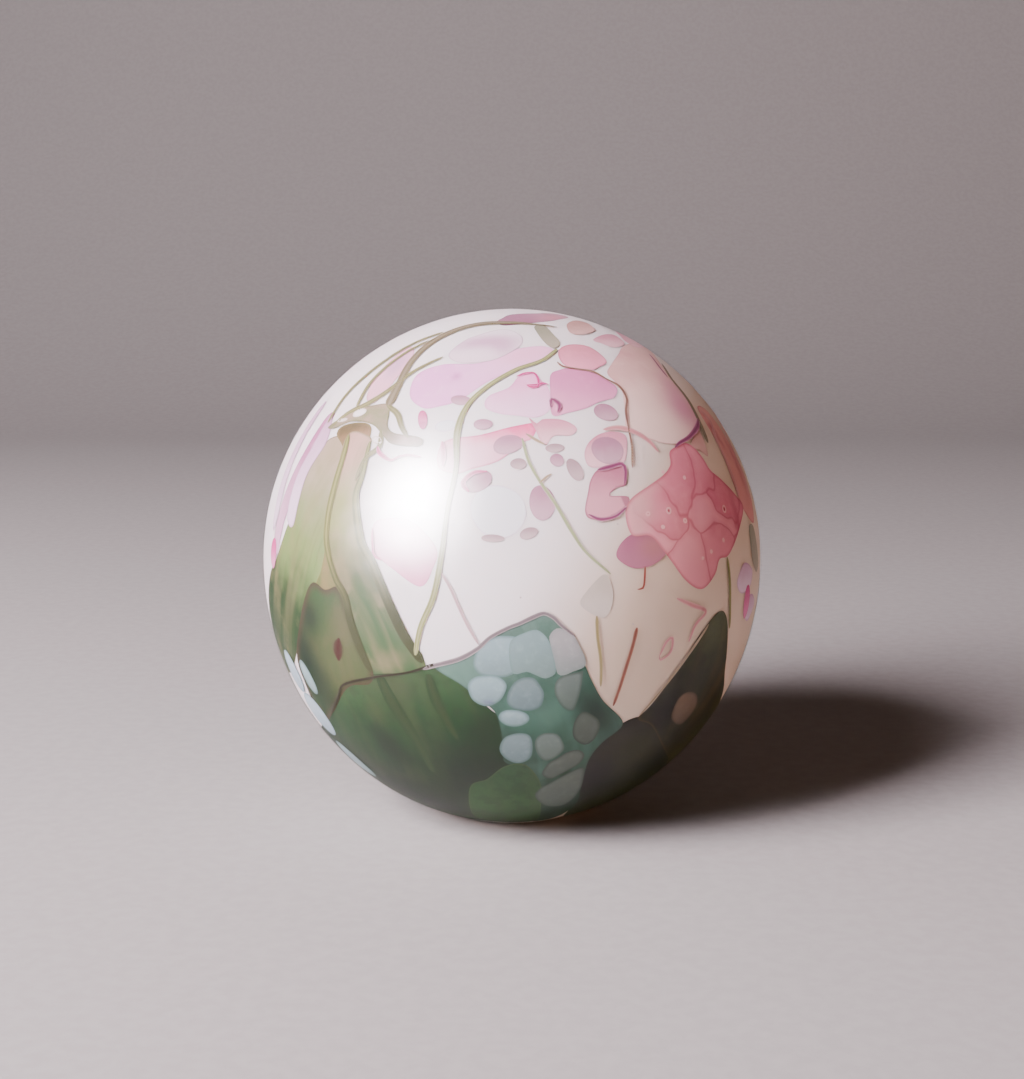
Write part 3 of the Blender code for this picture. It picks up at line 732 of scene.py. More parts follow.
sheet("petal_low_left", [
    (-31, 15.5), (-30, 10), (-25, 6.5), (-19, 3.5), (-16.5, 7), (-15.8, 11.5), (-21.5, 16.5), (-27, 17)], 1,
    petal_glass("petal_glass_blush", "#f8c4da", "#ec94bc", "#d87ca8", 0.2, 0.9))
sheet("petal_lilac", [
    (-32, 45), (-34, 51), (-27, 54.5), (-12, 55.5), (1.5, 60.5), (15, 61.5), (17, 59), (6.5, 54.5), (-7, 50),
    (-15, 44.5), (-21, 42.5), (-26, 42)], 1,
    petal_glass("petal_glass_lilac", "#eea2dc", "#fbc6e8", "#cf78b4", 0.0, 1.0, rim_strength=0.3, warm="#f6b0d2",
        dark="#b04c94"),
    grain=[(-30, 50), (-18, 49), (-4, 55), (15, 61)], warm=[(6, 59, 8, 4, 20, 0.8)],
        dark=[(-19, 50.5, 1.2, 1.0, 0, 0.6)])
sheet("petal_milky", [
    (-26.5, 58), (-24, 63.5), (-19.5, 66), (-4.5, 69.5), (5, 66), (4, 62), (-2, 58.5), (-9, 56), (-19.5, 55.3)], 2,
    petal_glass("petal_glass_milky", "#f4e8ee", "#efd6e2", "#b08aa0", rim_width=0.3, rim_strength=0.5,
                warm="#cc9cba"), warm=[(-14, 63.5, 9, 3.2, 12, 0.9), (-4, 61.5, 3, 4, 30, 0.7)])
sheet("petal_centre", [
    (-7.5, 42.5), (-7, 45.5), (-1, 48), (2.5, 51.5), (6.5, 52.5), (10, 49.5), (11.5, 47), (10.5, 42), (6.5, 40),
    (1.5, 40.5), (-3.5, 41)], 1,
    petal_glass("petal_glass_centre", "#f0a0cf", "#f9cce8", "#dc88bc", rim_strength=0.3))
sheet("petal_mauve_top", [
    (11, 40.5), (11.5, 46), (13, 51.5), (16.5, 53), (21.5, 53.5), (29, 52), (32.5, 49.5), (34.5, 47), (31.5, 44.5),
    (26, 43.5), (21, 42), (15.5, 41)], 2,
    petal_glass("petal_glass_mauve", "#d984b2", "#eda2c6", "#b86a98", 0.1, 0.95, rim_strength=0.3))
sheet("petal_band", [
    (-17.5, 28.5), (-17, 34), (-8, 35.8), (1, 38), (6.5, 38.5), (5, 35), (2.5, 34), (-3, 30), (-9.5, 28),
    (-13, 27)], 1,
    petal_glass("petal_glass_band", "#ee6498", "#f6bcd0", "#cc4c80", 0.0, 0.55, cloud=0.2))
sheet("petal_large", [
    (34.5, 51.5), (40, 54.5), (48.5, 57.5), (58, 60), (74, 60.5), (88, 57.5), (71.5, 52.5), (65.5, 46),
    (63.5, 41.5), (62, 37), (58.5, 34.6), (50, 32.3), (44.5, 32), (39, 33), (31.5, 36), (33, 41), (35.5, 45.5),
    (35.5, 48.5)], 2,
    petal_glass("petal_glass_large", "#e4b8b2", "#f8dacf", "#bf7888", 0.1, 0.8, rim_width=0.3, rim_strength=0.35,
                warm="#d490a8", dark="#c87486"),
    grain=[(44, 58), (48, 48), (42, 33)],
    warm=[(57.5, 40, 6.5, 6.5, 0, 0.9), (61, 46, 4, 5, 0, 0.5)], dark=[(47, 58.5, 8, 2.4, -10, 0.35)])
sheet("petal_small_top", [
    (19, 58.5), (22.5, 61), (29, 62), (36, 61), (38.5, 58), (38, 55), (33, 53.5), (28, 52.5), (22.5, 53),
    (19, 55)], 3,
    petal_glass("petal_glass_rosy", "#da8a9c", "#f2a0b8", "#b45c74"))
sheet("petal_side", [
    (20, 27.5), (23.5, 28), (26.5, 28.5), (27.3, 27), (26.5, 24), (24, 23.5), (22, 22), (26.5, 21.5), (25.5, 19.5),
    (21, 17.3), (17, 17.3), (15.8, 19), (17, 23), (18, 25.5)], 3,
    petal_glass("petal_glass_side", "#b87088", "#e0a2b0", "#8a4460", -0.1, 0.8, rim_strength=0.6))
sheet("petal_low_right", [
    (22, 9.5), (23.5, 12.3), (27, 14), (31, 13.3), (33.5, 11), (34, 9), (31, 7.2), (27.5, 6.6), (24.5, 7.3)], 3,
    petal_glass("petal_glass_mauve_low", "#ad6886", "#b87a90", "#a86080", 0.0, 1.0, rim_strength=0.3,
                warm="#b87c80"), warm=[(31, 11, 4, 3, 0, 0.8)])
sheet("petal_left_limb", [
    (-58, 37), (-62, 38), (-63.5, 30), (-66, 18), (-67, 8), (-64, 5), (-62, 13), (-59.5, 22)], 2,
    petal_glass("petal_glass_limb", "#b06c94", "#d8b0c8", "#8c4c78", 0.0, 1.2))
sheet("petal_top_left", [
    (-49, 44), (-53, 52), (-51.5, 60), (-43, 57), (-41.5, 49), (-43.5, 42.5)], 2,
    petal_glass("petal_glass_top_left", "#f4b8d0", "#e8b2c2", "#b87c8c", warm="#c8a0bc"),
    warm=[(-47.5, 54, 3.2, 5.5, 20, 0.9)])
sheet("petal_right_limb", [
    (66.5, 39), (74, 38), (76, 30), (77.5, 20), (73.5, 11), (67, 14), (64.5, 20), (65, 28)], 1,
    petal_glass("petal_glass_right_limb", "#e6a8a0", "#dc9490", "#b85464", cloud=0.5, dark="#b04458"),
    dark=[(68, 33, 1.2, 6, 10, 0.7), (73, 26, 1.2, 8, 0, 0.6)])
sheet("petal_crown", [
    (-12, 74.5), (-9, 77), (-1.5, 80), (36.5, 81), (70, 79.5), (66, 76), (37, 74.5), (16, 73.3), (-1, 71.8),
    (-8, 72)], 1,
    petal_glass("petal_glass_crown", "#a06c86", "#c090a0", "#74465e", 0.1, 1.1, warm="#d8909c"),
    grain=[(-12, 75), (20, 77), (70, 78)], warm=[(45, 76.5, 5, 2, 0, 0.7)])
print("petals are down")

# %% [markdown]
# ## The rose
# The rose is several chips of cherry-red glass melted into one, with the joins left as fine dark
# red lines, like a web, and small bubbles caught between the layers. A Voronoi pattern about 12 mm
# across gives the joins. The colour is deepest at the joins and salmon in the middle of each chip.

# %%
def rose_glass(name, body, light, join, fade, web=0.14):
    mix = Recipe(name)
    place = mix.place()
    bent = mix.add("ShaderNodeTexNoise", {"Vector": place, "Scale": 0.12, "Detail": 2.0}).outputs["Color"]
    offset = mix.add("ShaderNodeVectorMath", {0: bent, 1: (0.5, 0.5, 0.5)}, operation="SUBTRACT").outputs[0]
    bent = mix.add("ShaderNodeVectorMath", {0: offset, 1: (9.0, 9.0, 9.0), 2: place},
        operation="MULTIPLY_ADD").outputs[0]
    cells = mix.add("ShaderNodeTexVoronoi", {"Vector": bent, "Scale": web},
        feature="DISTANCE_TO_EDGE").outputs["Distance"]
    tone = mix.add("ShaderNodeTexVoronoi", {"Vector": bent, "Scale": web}).outputs["Color"]
    tone = mix.add("ShaderNodeSeparateColor", {0: tone}).outputs[0]
    colour = mix.mix(tone, linear(body), linear(light))
    colour = mix.mix(mix.between(mix.noise(place, 5, 4, 0.6), 0.4, 0.75, 0.0, 0.5), colour, linear(light))
    colour = mix.mix(mix.between(cells, 0.16, 0.0, 0.0, 0.22), colour, linear(join))
    colour = mix.mix(mix.between(cells, 0.03, 0.0, 0.0, 0.5), colour, linear(join))
    colour = mix.mix(mix.number("warm"), colour, linear(fade))
    colour = mix.mix(mix.number("dark"), colour, linear(join))
    colour = mix.mix(mix.between(mix.number("edge"), 0.8, 0.0, 0.0, 0.5), colour, linear(join))
    return mix.finish(colour, 0.38)


ROSE = rose_glass("rose_glass", "#d9788e", "#f0a2b0", "#b24560", "#e4b0b0", 0.085)
sheet("rose", [
    (43.5, 31), (49, 31.8), (52, 30), (53.5, 27.5), (54.5, 25), (58, 22.5), (63, 18.5), (66, 15.5), (62, 12),
    (54.5, 6.5), (50.5, 6), (48.5, 3), (44, 0.5), (39, 3), (34, 9), (30.5, 13), (26, 13.5), (25, 18), (27, 21),
    (32.5, 23.5), (37.5, 25.5), (40.5, 27.5), (41.5, 30)], 5, ROSE,
    warm=[(28.5, 19.5, 5, 5, 0, 0.85), (33, 23.5, 4, 2, 10, 0.5), (27, 14, 3, 2.4, 0, 0.7)],
    dark=[(60.5, 14, 1.6, 7, 0, 0.5)], spacing=ROSE_NET)


def bubble_glass():
    """A trapped bubble painted as colour: a fine dark ring of painted shade round a bright middle that is partly
    painted highlight.
    """
    mix = Recipe("trapped_bubble")
    # painted shade at the bubble's rim, painted highlight in its middle
    colour = mix.mix(mix.between(mix.number("edge"), 0.5, 0.2), linear("#b84c62"), linear("#f2bcc0"))
    return mix.finish(colour, 0.25)


ovals("rose_bubbles", [
    (36.3, 17.8, 1.3, 1.3, 0), (40.5, 15.3, 1.0, 1.0, 0), (55.3, 16.2, 1.4, 1.5, 0), (43.6, 24.3, 0.8, 0.8, 0),
    (30.6, 17.6, 1.1, 0.9, 0), (47.6, 8.0, 0.8, 0.8, 0), (37.4, 26.0, 0.9, 0.7, 0), (44.5, 7.0, 0.7, 0.7, 0),
    (34.0, 14.6, 0.9, 0.8, 0), (52.6, 9.8, 0.8, 0.9, 0)], 7, bubble_glass(), spacing=BUBBLE_NET)
print("rose is down")

# %% [markdown]
# ## Small spots and pale drops
# Round the petals the maker scattered small chips: grey-mauve ovals, a few magenta drops and milky
# discs. They are only 2 to 4 mm long.

# %%
SPOT_MAUVE = petal_glass("spot_glass_mauve", "#b07c94", "#cca6b4", "#a87c90", rim_strength=0.3)
SPOT_GREY = petal_glass("spot_glass_grey", "#a88c92", "#c8b2b4", "#a88c90", rim_strength=0.3)
SPOT_MAGENTA = petal_glass("spot_glass_magenta", "#c83c84", "#e488b8", "#a82c70", rim_strength=0.4)
ovals("spots_mauve", [
    (-15, 44.3, 4.0, 2.2, -5), (-7.6, 38.3, 3.6, 2.2, 0), (6.5, 21, 4.6, 6.4, 10), (-8, 25.5, 6.0, 3.8, 22),
    (26.7, 40.8, 4.6, 4.0, -10), (10.6, 30.0, 2.6, 2.4, 0), (-1, 33.6, 5.6, 3.6, 15), (23.8, 31.8, 6.6, 5.2, 0)],
    3, SPOT_MAUVE)
ovals("spots_grey", [
    (10.4, 32.7, 3.6, 1.7, 5), (1.5, 29.3, 2.8, 2.2, 0), (14.6, 27.8, 2.6, 4.6, 20), (-4, 13.8, 4.0, 1.4, 0),
    (3.5, 14.8, 3.4, 2.0, 22), (55, 69.5, 4.5, 3.6, 0)], 3, SPOT_GREY)
ovals("spots_magenta", [(-24.5, 39.0, 1.8, 4.4, 24), (-66.5, 5, 3.4, 6.0, 0), (64.5, -5.5, 3.2, 7.0, 0)], 4,
    SPOT_MAGENTA)
ovals("milky_discs", [(-3, 19.3, 10.0, 9.6, 0), (-17.5, 37.8, 4.0, 2.6, 10)], 1, petal_glass(
    "milky_glass", "#e9edf2", "#eef0f4", "#d9b4cf", rim_width=0.35, rim_strength=0.4, cloud=0.2))
print("spots are down")

# %% [markdown]
# ## Petal folds and thin films
# Where a petal edge folded over, the glass is double and shows as a wine-red or magenta hairline.
# Between the big pieces lie thin films: torn rose strips, a milky patch and pale limb streaks.

# %%
def films(name, outlines, number, material):
    """Several small torn films of one glass, in one object."""
    return joined(name, [
        sheet_mesh(name, smooth_line(line, True), layer(number), spacing=SMALL_NET) for line in outlines], material)


films("films_pink", [
    [(4.5, 40), (6.5, 38.5), (8, 39.5), (12.5, 39.5), (15.5, 38.5), (17, 37), (15, 35.5), (10.5, 35.5), (8.5, 33.5),
     (7, 34.5), (6, 37)],
    [(17.5, 31), (19, 33.5), (22.5, 35.5), (27, 36), (30, 35), (29.5, 32.5), (27.5, 29), (24.5, 28), (20.5, 28),
    (18, 28.5)],
    [(43.5, 63.5), (60.5, 65.5), (69, 64.5), (63.5, 61), (51, 60), (46, 62)],
    [(93, 66), (91.5, 62), (88, 58.5), (71, 59), (70, 62.5)]], 2,
    petal_glass("film_glass_pink", "#d890a6", "#f2c4cc", "#c07088", 0.0, 1.0, rim_strength=0.3))
films("films_rosy", [
    [(41.5, 71.5), (61, 73.5), (67.5, 71.5), (56, 67.5), (41.5, 66), (34.5, 67)],
    [(47, 27), (52, 32), (58, 34.5), (57.5, 31), (56, 28), (52.5, 30)]], 4,
    petal_glass("film_glass_rosy", "#c09088", "#dcb4ac", "#a07470", 0.0, 1.0, rim_strength=0.2))
films("films_grey", [[(14, 0), (15.5, 3), (19, 6), (20.5, 4.5), (21, 0.5), (19, -3)]], 2,
      petal_glass("film_glass_grey", "#c6bcae", "#d8cfc4", "#c8beb2", 0.0, 1.0, rim_width=1.2, rim_strength=0.4))
films("films_green", [
    [(14.5, 70.5), (22, 71.5), (23, 66.5), (23, 62.5), (18, 60.5), (15, 64)],
    [(67.5, 10.5), (71, 10.5), (72.5, 7), (73.5, 1.5), (71, 0), (67.5, 4)]], 4,
    petal_glass("film_glass_green", "#90907a", "#a8a28e", "#8c8c76", 0.0, 1.0))
films("films_lilac", [
    [(58, 0), (62, 3.5), (67.5, 1), (66, -2.5), (60.5, -3)], [(63.5, -8), (64, -5), (68.5, -4.5), (72, -7.5),
    (67.5, -10.5)],
    [(-60, 38), (-60.5, 30), (-62, 23), (-61, 14), (-57, 12.5), (-57, 23.5), (-54.5, 32)],
    [(-69, 10), (-72, 22), (-73, 39), (-70, 39.5), (-68.5, 28), (-67, 14)]], 3,
    petal_glass("film_glass_lilac", "#c8a0bc", "#e4cce0", "#a87ca0", 0.0, 1.0))
canes("folds_magenta", [
    [(1.5, 51, 0.5), (4.5, 52, 0.5), (7.5, 52, 0.5), (8.5, 50, 0.6), (8, 48, 0.5), (5.5, 48, 0.5),
    (4.5, 48.5, 0.4)],
    [(4.5, 48.5, 0.4), (7.5, 48.5, 0.5), (10, 49, 0.5), (11.5, 48.5, 0.4)],
    [(-35, 32, 0.7), (-33.6, 30.5, 0.9), (-30, 29.2, 0.6), (-28, 30, 0.5), (-26, 30.5, 0.5), (-22, 30.3, 0.5)],
    [(-9.5, 23.2, 0.8), (-11, 25, 1.0), (-8.8, 27.2, 0.8), (-5.6, 27.6, 0.5)],
    [(-17.4, 34, 0.9), (-16.5, 31, 1.0), (-16.2, 28.5, 0.8)],
    [(-31, 14.5, 0.5), (-30, 9.5, 0.6), (-28, 8.3, 0.5)]], 7, cane_glass(
    "fold_glass_magenta", "#b8206c", "#d04c90", "#ec9cc8"))
canes("folds_wine", [
    [(20, 27.5, 0.8), (23, 28, 0.9), (26.5, 28.5, 0.9), (27, 27, 0.7), (26, 24, 0.5)],
    [(16.5, 18.3, 0.5), (19, 17.2, 0.7), (22.5, 17.6, 0.6), (25.5, 19.3, 0.5)],
    [(62, 37, 0.6), (58, 35, 1.2), (51.5, 33, 0.9), (46.5, 32, 0.7), (44, 31, 0.4)],
    [(10.8, 42.4, 0.5), (11.6, 44.5, 0.9), (13.5, 43, 1.0), (12.5, 41, 0.5)],
    [(63.5, 48.5, 0.6), (66, 52, 0.6), (72, 56, 0.5)]], 7, cane_glass(
    "fold_glass_wine", "#7c3c60", "#9c5c7c", "#cc98ac"))
canes("folds_pink", [
    [(24, 36.5, 0.6), (28, 36.8, 1.0), (31, 36.3, 1.2), (34, 35, 1.2), (36.5, 33, 1.0), (38, 30.5, 0.6)],
    [(36.5, -0.5, 0.6), (41, -2.5, 0.9), (45.5, -4.5, 0.8), (42.5, -7, 0.8), (41, -10.5, 0.6)],
    [(33, -12.5, 0.5), (34.5, -9.5, 0.7), (36, -9, 0.7), (36, -12, 0.6), (33.5, -13.5, 0.5), (33, -12.5, 0.4)],
    [(67.5, 38.5, 0.8), (69, 35.5, 0.8), (65.5, 31.5, 0.9), (65, 27, 0.8), (65, 22, 0.8), (65, 17.5, 0.6)],
    [(83, 40, 0.8), (80.5, 35.5, 0.8), (76, 29.5, 0.9), (74.5, 23.5, 0.8), (73.5, 16.5, 0.6)]], 7, cane_glass(
    "fold_glass_pink", "#cf8a90", "#d89c9e", "#e4c0ba"))
canes("threads_fine", [
    [(3.5, 36, 0.5), (6, 34.5, 0.6), (8, 33.5, 0.5)], [(6, 25, 0.4), (8, 26.5, 0.5), (9, 27, 0.4)],
    [(31, 33, 0.4), (30, 30.5, 0.5), (29, 28, 0.4)],
    [(47, -7.5, 0.5), (41.5, -13.5, 0.6), (36.5, -19.5, 0.6), (32.5, -24.5, 0.5), (31, -26.5, 0.4)]], 7, cane_glass(
    "thread_glass_fine", "#a08c70", "#b09c80", "#cfc0ac"))
canes("threads_red", [[(28.5, 7, 0.5), (28.2, 4, 0.5), (27.8, 2.6, 0.5), (26.5, 2.4, 0.4)]], 7, cane_glass(
    "thread_glass_red", "#8c3c34", "#a05c50", "#c8a090"))
canes("teal_edge", [[
    (-19, -14, 0.5), (-16.5, -13, 0.8), (-11, -11.2, 0.9), (-7, -8.8, 0.8), (-4.5, -6.4, 0.7), (-1, -4.4, 0.7),
    (1.5, -3.4, 0.7), (4.5, -2, 0.8), (6.5, -1.4, 0.7), (8.5, -2.4, 0.7), (10, -4, 0.6), (13, -6.5, 0.4)]], 8,
    cane_glass(
    "teal_edge_glass", "#6f6468", "#84787a", "#b0aaa8"))
print("folds and films are down")

# %% [markdown]
# ## Vines, threads and folded edges
# The olive vines are the thickest canes: pale olive in the middle, a darker line down each side.
# The brown and red threads are hairs. Soft darker bands on the low leaf are where leaf shards
# overlap under it. At the upper left the vines meet in a knot, with gaps that show the white.

# %%
VINE = cane_glass("vine_glass", "#a2a472", "#7f844a", "#acae80")
VINE_DARK = cane_glass("vine_glass_dark", "#8a7f6a", "#6c6448", "#8a8062")
cane("vine_main", [
    (19.5, 60, 0.6), (11, 56, 0.8), (1, 53, 0.9), (-9, 47, 0.9), (-13, 42, 1.0), (-14, 36, 1.3), (-13, 28, 0.9),
    (-14, 19, 0.8), (-14.5, 11, 1.0), (-16, 2, 1.1), (-19, -5, 1.0), (-20.5, -11, 0.9)], 7, VINE)
cane("vine_branch", [(-14.5, 6.5, 0.5), (-12.5, 3.5, 0.6), (-9.5, -3, 0.6), (-6.8, -8, 0.5)], 6,
     cane_glass("thread_glass_grey", "#b8989c", "#c4a8aa", "#e0d0d2"))
cane("vine_top_left", [
    (30, 70, 0.5), (16, 72, 0.8), (-3, 73, 1.6), (-24, 72, 1.9), (-36, 68, 2.0), (-41, 62, 1.9), (-41, 55, 1.7),
    (-38.5, 48, 1.8), (-37.5, 42, 2.4)], 6, VINE_DARK)
cane("vine_right", [(72, 52.5, 0.7), (65.5, 48, 0.9), (63.8, 42, 1.1), (61.5, 37, 1.1), (59, 31, 1.3)], 7,
    VINE_DARK)
cane("vine_right_low", [(53.5, 6, 0.7), (54.2, 1, 0.9), (54.8, -4, 0.8), (56, -10, 0.7)], 7,
     cane_glass("vine_glass_bright", "#8c8c50", "#7c7e40", "#a8a478"))
cane("tendril", [
    (2.5, 35, 0.5), (3.8, 30, 0.6), (6.2, 25.5, 0.6), (9.5, 20.5, 0.7), (12.5, 15, 0.7), (15.5, 10.5, 0.6),
    (20.5, 6, 0.5)], 6, cane_glass("tendril_glass", "#9caa7c", "#a4ae84", "#d4d0bc"))
cane("stamen_olive", [(17.4, -2.4, 0.7), (17.8, -7, 0.7), (18.8, -12, 0.7), (19.4, -18, 0.6)], 7,
     cane_glass("stamen_glass_olive", "#948a5a", "#a09468", "#c4b698"))
cane("stamen_red", [(26.6, -5.6, 1.0), (26, -9, 0.8), (24.8, -14.5, 0.8), (23.2, -23, 0.7)], 7,
     cane_glass("stamen_glass_red", "#7c4438", "#9c6654", "#c4a48c"))
cane("thread_brown", [
    (17, 55.5, 0.5), (18.5, 54, 0.5), (24, 53, 0.4), (29, 52, 0.7), (32.5, 49.5, 0.5), (35.5, 47.5, 0.7),
    (35.6, 44, 0.5), (33, 40.5, 0.6), (31.6, 36.5, 0.4), (30.6, 32, 0.6), (29, 27.5, 0.4)], 7,
     cane_glass("thread_glass_brown", "#7c5a50", "#94705f", "#c4aca0"))
cane("leaf_line", [
    (-50.5, -29, 0.5), (-45, -24.5, 0.5), (-42, -21, 0.5), (-37.5, -19, 0.6), (-30, -16.8, 0.5), (-22.5, -15, 0.5),
    (-16, -12.5, 0.6)], 8, cane_glass("leaf_line_glass", "#241d12", "#2c2a18", "#2f3a20"))
canes("leaf_veins", [
    [(-46.5, 34, 1.0), (-45, 29, 1.4), (-44.5, 22, 1.6), (-44.3, 16, 1.5), (-43.3, 10, 1.4), (-40, 3.5, 1.5),
     (-37.3, 0, 1.6), (-36, -5, 1.8), (-34, -11, 1.8), (-32, -16, 1.4)],
    [(-38, 33, 0.8), (-36.8, 26, 1.2), (-37.2, 21.5, 1.6), (-35.8, 17, 1.8), (-33.2, 11, 1.9), (-30, 7, 1.9),
     (-25.5, -1.5, 2.0), (-22.7, -7, 2.0), (-19, -12.5, 1.6)]], 6,
    cane_glass("leaf_vein_glass", "#8e8c52", "#666c36", "#7e7e4c", end="#363c1e"))
canes("leaf_folds", [
    [(-30, -16.5, 2.0), (-28, -22.5, 2.8), (-25.5, -28.5, 2.6), (-23.5, -34.5, 2.0), (-22.5, -42, 1.2)],
    [(-18, -15, 1.6), (-17, -20.5, 2.2), (-15, -26, 1.8), (-13, -31, 1.0)]], 5,
    cane_glass("leaf_fold_glass", "#293a1c", "#21381a", "#183516", reach=0.8))
canes("leaf_blotch", [[(-39.7, -9.5, 1.2), (-40.6, -12, 3.0), (-41, -14.8, 1.4)]], 5, cane_glass(
    "leaf_blotch_glass", "#3a1712", "#3c2a1c", "#484a2e"))
sheet("vine_knot", [
    (-57.5, 35), (-54, 37.8), (-49, 40.6), (-44, 41.6), (-38, 42.4), (-35.8, 40), (-34.6, 37.2), (-31.5, 35.4),
    (-24, 34.8), (-22.5, 33.8), (-23.5, 32.6), (-31, 32.8), (-35, 34.8), (-40, 37), (-48, 37.2), (-54, 35)], 5,
    streaky_glass("knot_glass", "#8a866a", "#868660", "#6c5a44", "#b08c82", "#5c6038", "#6c6e46", streak=0.5,
                  cloud=0.6, rim_strength=0.5),
    grain=[(-57, 37), (-45, 39), (-34, 38), (-23, 34)], warm=[(-52, 38.5, 4, 2.4, 20, 0.7),
        (-27, 33.5, 4, 1.4, 0, 0.6)],
    spacing=SMALL_NET)
ovals("knot_gaps", [
    (-47, 39.5, 3.4, 1.9, 20), (-36, 33.4, 2.6, 1.5, -20), (-52.5, 37.2, 3.0, 0.8, 15)], 6,
    petal_glass("knot_gap_glass", "#f2ecea", "#f2ecea", "#b9a890"), spacing=GAP_NET)
canes("knot_strands", [
    [(-56, 35, 0.8), (-52, 39, 1.2), (-46, 42, 1.4), (-41, 46, 1.2), (-36, 52, 0.9), (-28, 57, 0.6)],
    [(-59, 36, 0.8), (-60, 44, 1.0), (-57, 53, 1.1), (-52, 61, 1.0), (-42, 67, 0.8)],
    [(-50, 41, 0.8), (-52, 48, 1.0), (-50, 56, 1.0), (-44, 63, 0.8)],
    [(-38, 42, 1.0), (-33, 40, 1.2), (-30, 37, 1.0), (-27, 34.5, 0.8)],
    [(-36, 36, 0.9), (-34.5, 32, 1.2), (-37.5, 29, 1.0), (-38.5, 24, 0.7)]], 6, cane_glass(
    "knot_strand_glass", "#8f8a5e", "#6f7046", "#a09c78"))
print("vines and threads are down")

# %% [markdown]
# ## The unseen back
# The garden goes on round the back, because a ball is rolled in its colours all the way round. The
# same glasses are used there, with the leaves rising from the foot and a second rose.

# %%
GREEN_BEHIND = streaky_glass("leaf_glass_behind", "#808c58", "#2c4624", "#16301a", "#6c6444", "#12240f", "#3c3a24")
sheet("leaf_behind_left", [
    (-74, -20), (-84, -12), (-90, 4), (-98, 18), (-108, 8), (-115, -10), (-114, -38), (-106, -66), (-76, -68),
    (-72, -44)], 1, GREEN_BEHIND, grain=[(-98, 18), (-97, -10), (-92, -40), (-90, -66)])
sheet("leaf_behind_tall", [
    (-112, -36), (-115, -8), (-122, 18), (-133, 38), (-142, 24), (-148, -5), (-150, -38), (-140, -66),
    (-108, -68)], 2, streaky_glass("leaf_glass_tall_behind", "#b09a80", "#7a7c4a", "#22361c", "#9a8260", "#3a4626",
                                   "#5c5432"),
    grain=[(-133, 37), (-132, 10), (-131, -20), (-130, -66)])
sheet("leaf_behind_low", [
    (152, -68), (152, -42), (142, -23), (126, -13), (110, -24), (98, -42), (98, -68)], 1,
    streaky_glass("leaf_glass_low_behind", "#3c4226", "#24281a", "#1c1a10", "#463822", "#141008", "#34301c",
                  mottle=0.3), grain=[(126, -14), (127, -40), (126, -68)])
sheet("leaf_behind_right", [
    (70, -68), (70, -52), (74, -34), (78, -14), (86, -1), (95, -12), (101, -34), (102, -68)], 2,
    GREEN_BEHIND, grain=[(86, -1), (87, -34), (87, -68)])
sheet("teal_cluster_behind", [
    (-147, -16), (-165, -4), (179, -3), (166, -10), (156, -24), (152, -42), (150, -68), (-140, -68), (-146, -42)],
    3,
    streaky_glass("teal_glass_behind", "#6a887c", "#44695a", "#18361c", "#5e8474", "#15281a", "#30483c",
        turning=0.32),
    grain=[(-170, -4), (-174, -30), (-176, -68)])
ovals("dots_behind", [
    (-164, -14, 7, 6.5, 10), (-174, -12, 6.5, 7, 0), (176, -13, 6, 7, 0), (-160, -23, 6.5, 6, 0),
    (-170, -22.5, 7.2, 6.4, 20),
    (179.5, -24, 6.4, 7.4, 0), (168, -22, 5.4, 7, 0), (-163, -33, 6, 7, 10), (-174, -33.5, 6.6, 6.6, 0),
    (172, -34, 6.2, 7, 0), (-170, -44, 7, 6.4, 20), (176, -46, 7, 8, -10)], 6, DOT_LIGHT)
sheet("rose_behind", [
    (135, 28), (141, 37), (152, 41.5), (163, 37), (169, 27), (162, 13.5), (149, 8.5), (138, 15.5)], 5, ROSE,
    spacing=ROSE_NET)
sheet("petal_behind_large", [
    (116, 48), (125, 58), (148, 63), (158, 53), (144, 44), (130, 43)], 1,
    petal_glass("petal_glass_behind", "#e4b8b2", "#f8dacf", "#bf7888"))
sheet("petal_behind_mauve", [
    (176, 40), (-171, 50), (-157, 46), (-158, 34), (-170, 28)], 1,
    petal_glass("petal_glass_mauve_behind", "#d984b2", "#eda2c6", "#b86a98"))
ovals("spots_behind", [
    (-128, 50, 9, 6, 20), (-112, 36, 7, 9, 10), (-118, 60, 8, 5, 0), (112, 30, 6, 9, -10), (104, 12, 7, 4.5, 20),
    (-172, 16, 5, 4, 0), (122, 10, 4, 3, 0), (-100, 50, 6, 8, 0), (98, 44, 8, 6, 0), (178, 62, 9, 6, 0)], 2,
    SPOT_MAUVE)
cane("vine_behind", [
    (-152, 62, 1.2), (-146, 48, 1.8), (-149, 30, 2.0), (-152, 12, 1.8), (-150, -4, 2.0), (-156, -12, 1.4)], 7, VINE)
canes("threads_behind", [
    [(118, 44, 0.6), (126, 30, 0.7), (140, 16, 0.6), (150, -2, 0.6)],
    [(-100, 20, 0.6), (-112, 34, 0.8), (-118, 50, 0.6)], [(100, 40, 0.5), (92, 24, 0.7), (88, 4, 0.5)]], 6, VINE)
print("the back of the garden is down")

# %% [markdown]
# ## Clear satin skin
# The last gather is clear glass, etched to satin. Light passes straight through it apart from a
# soft sheen that grows towards the edge of the ball, which a Fresnel mix gives. Its surface is very
# slightly uneven, as hand-marvered glass is. A Beckmann lobe keeps the highlight broad but without
# a haze over the dark leaves. The foot is ground flat and left grey-white.

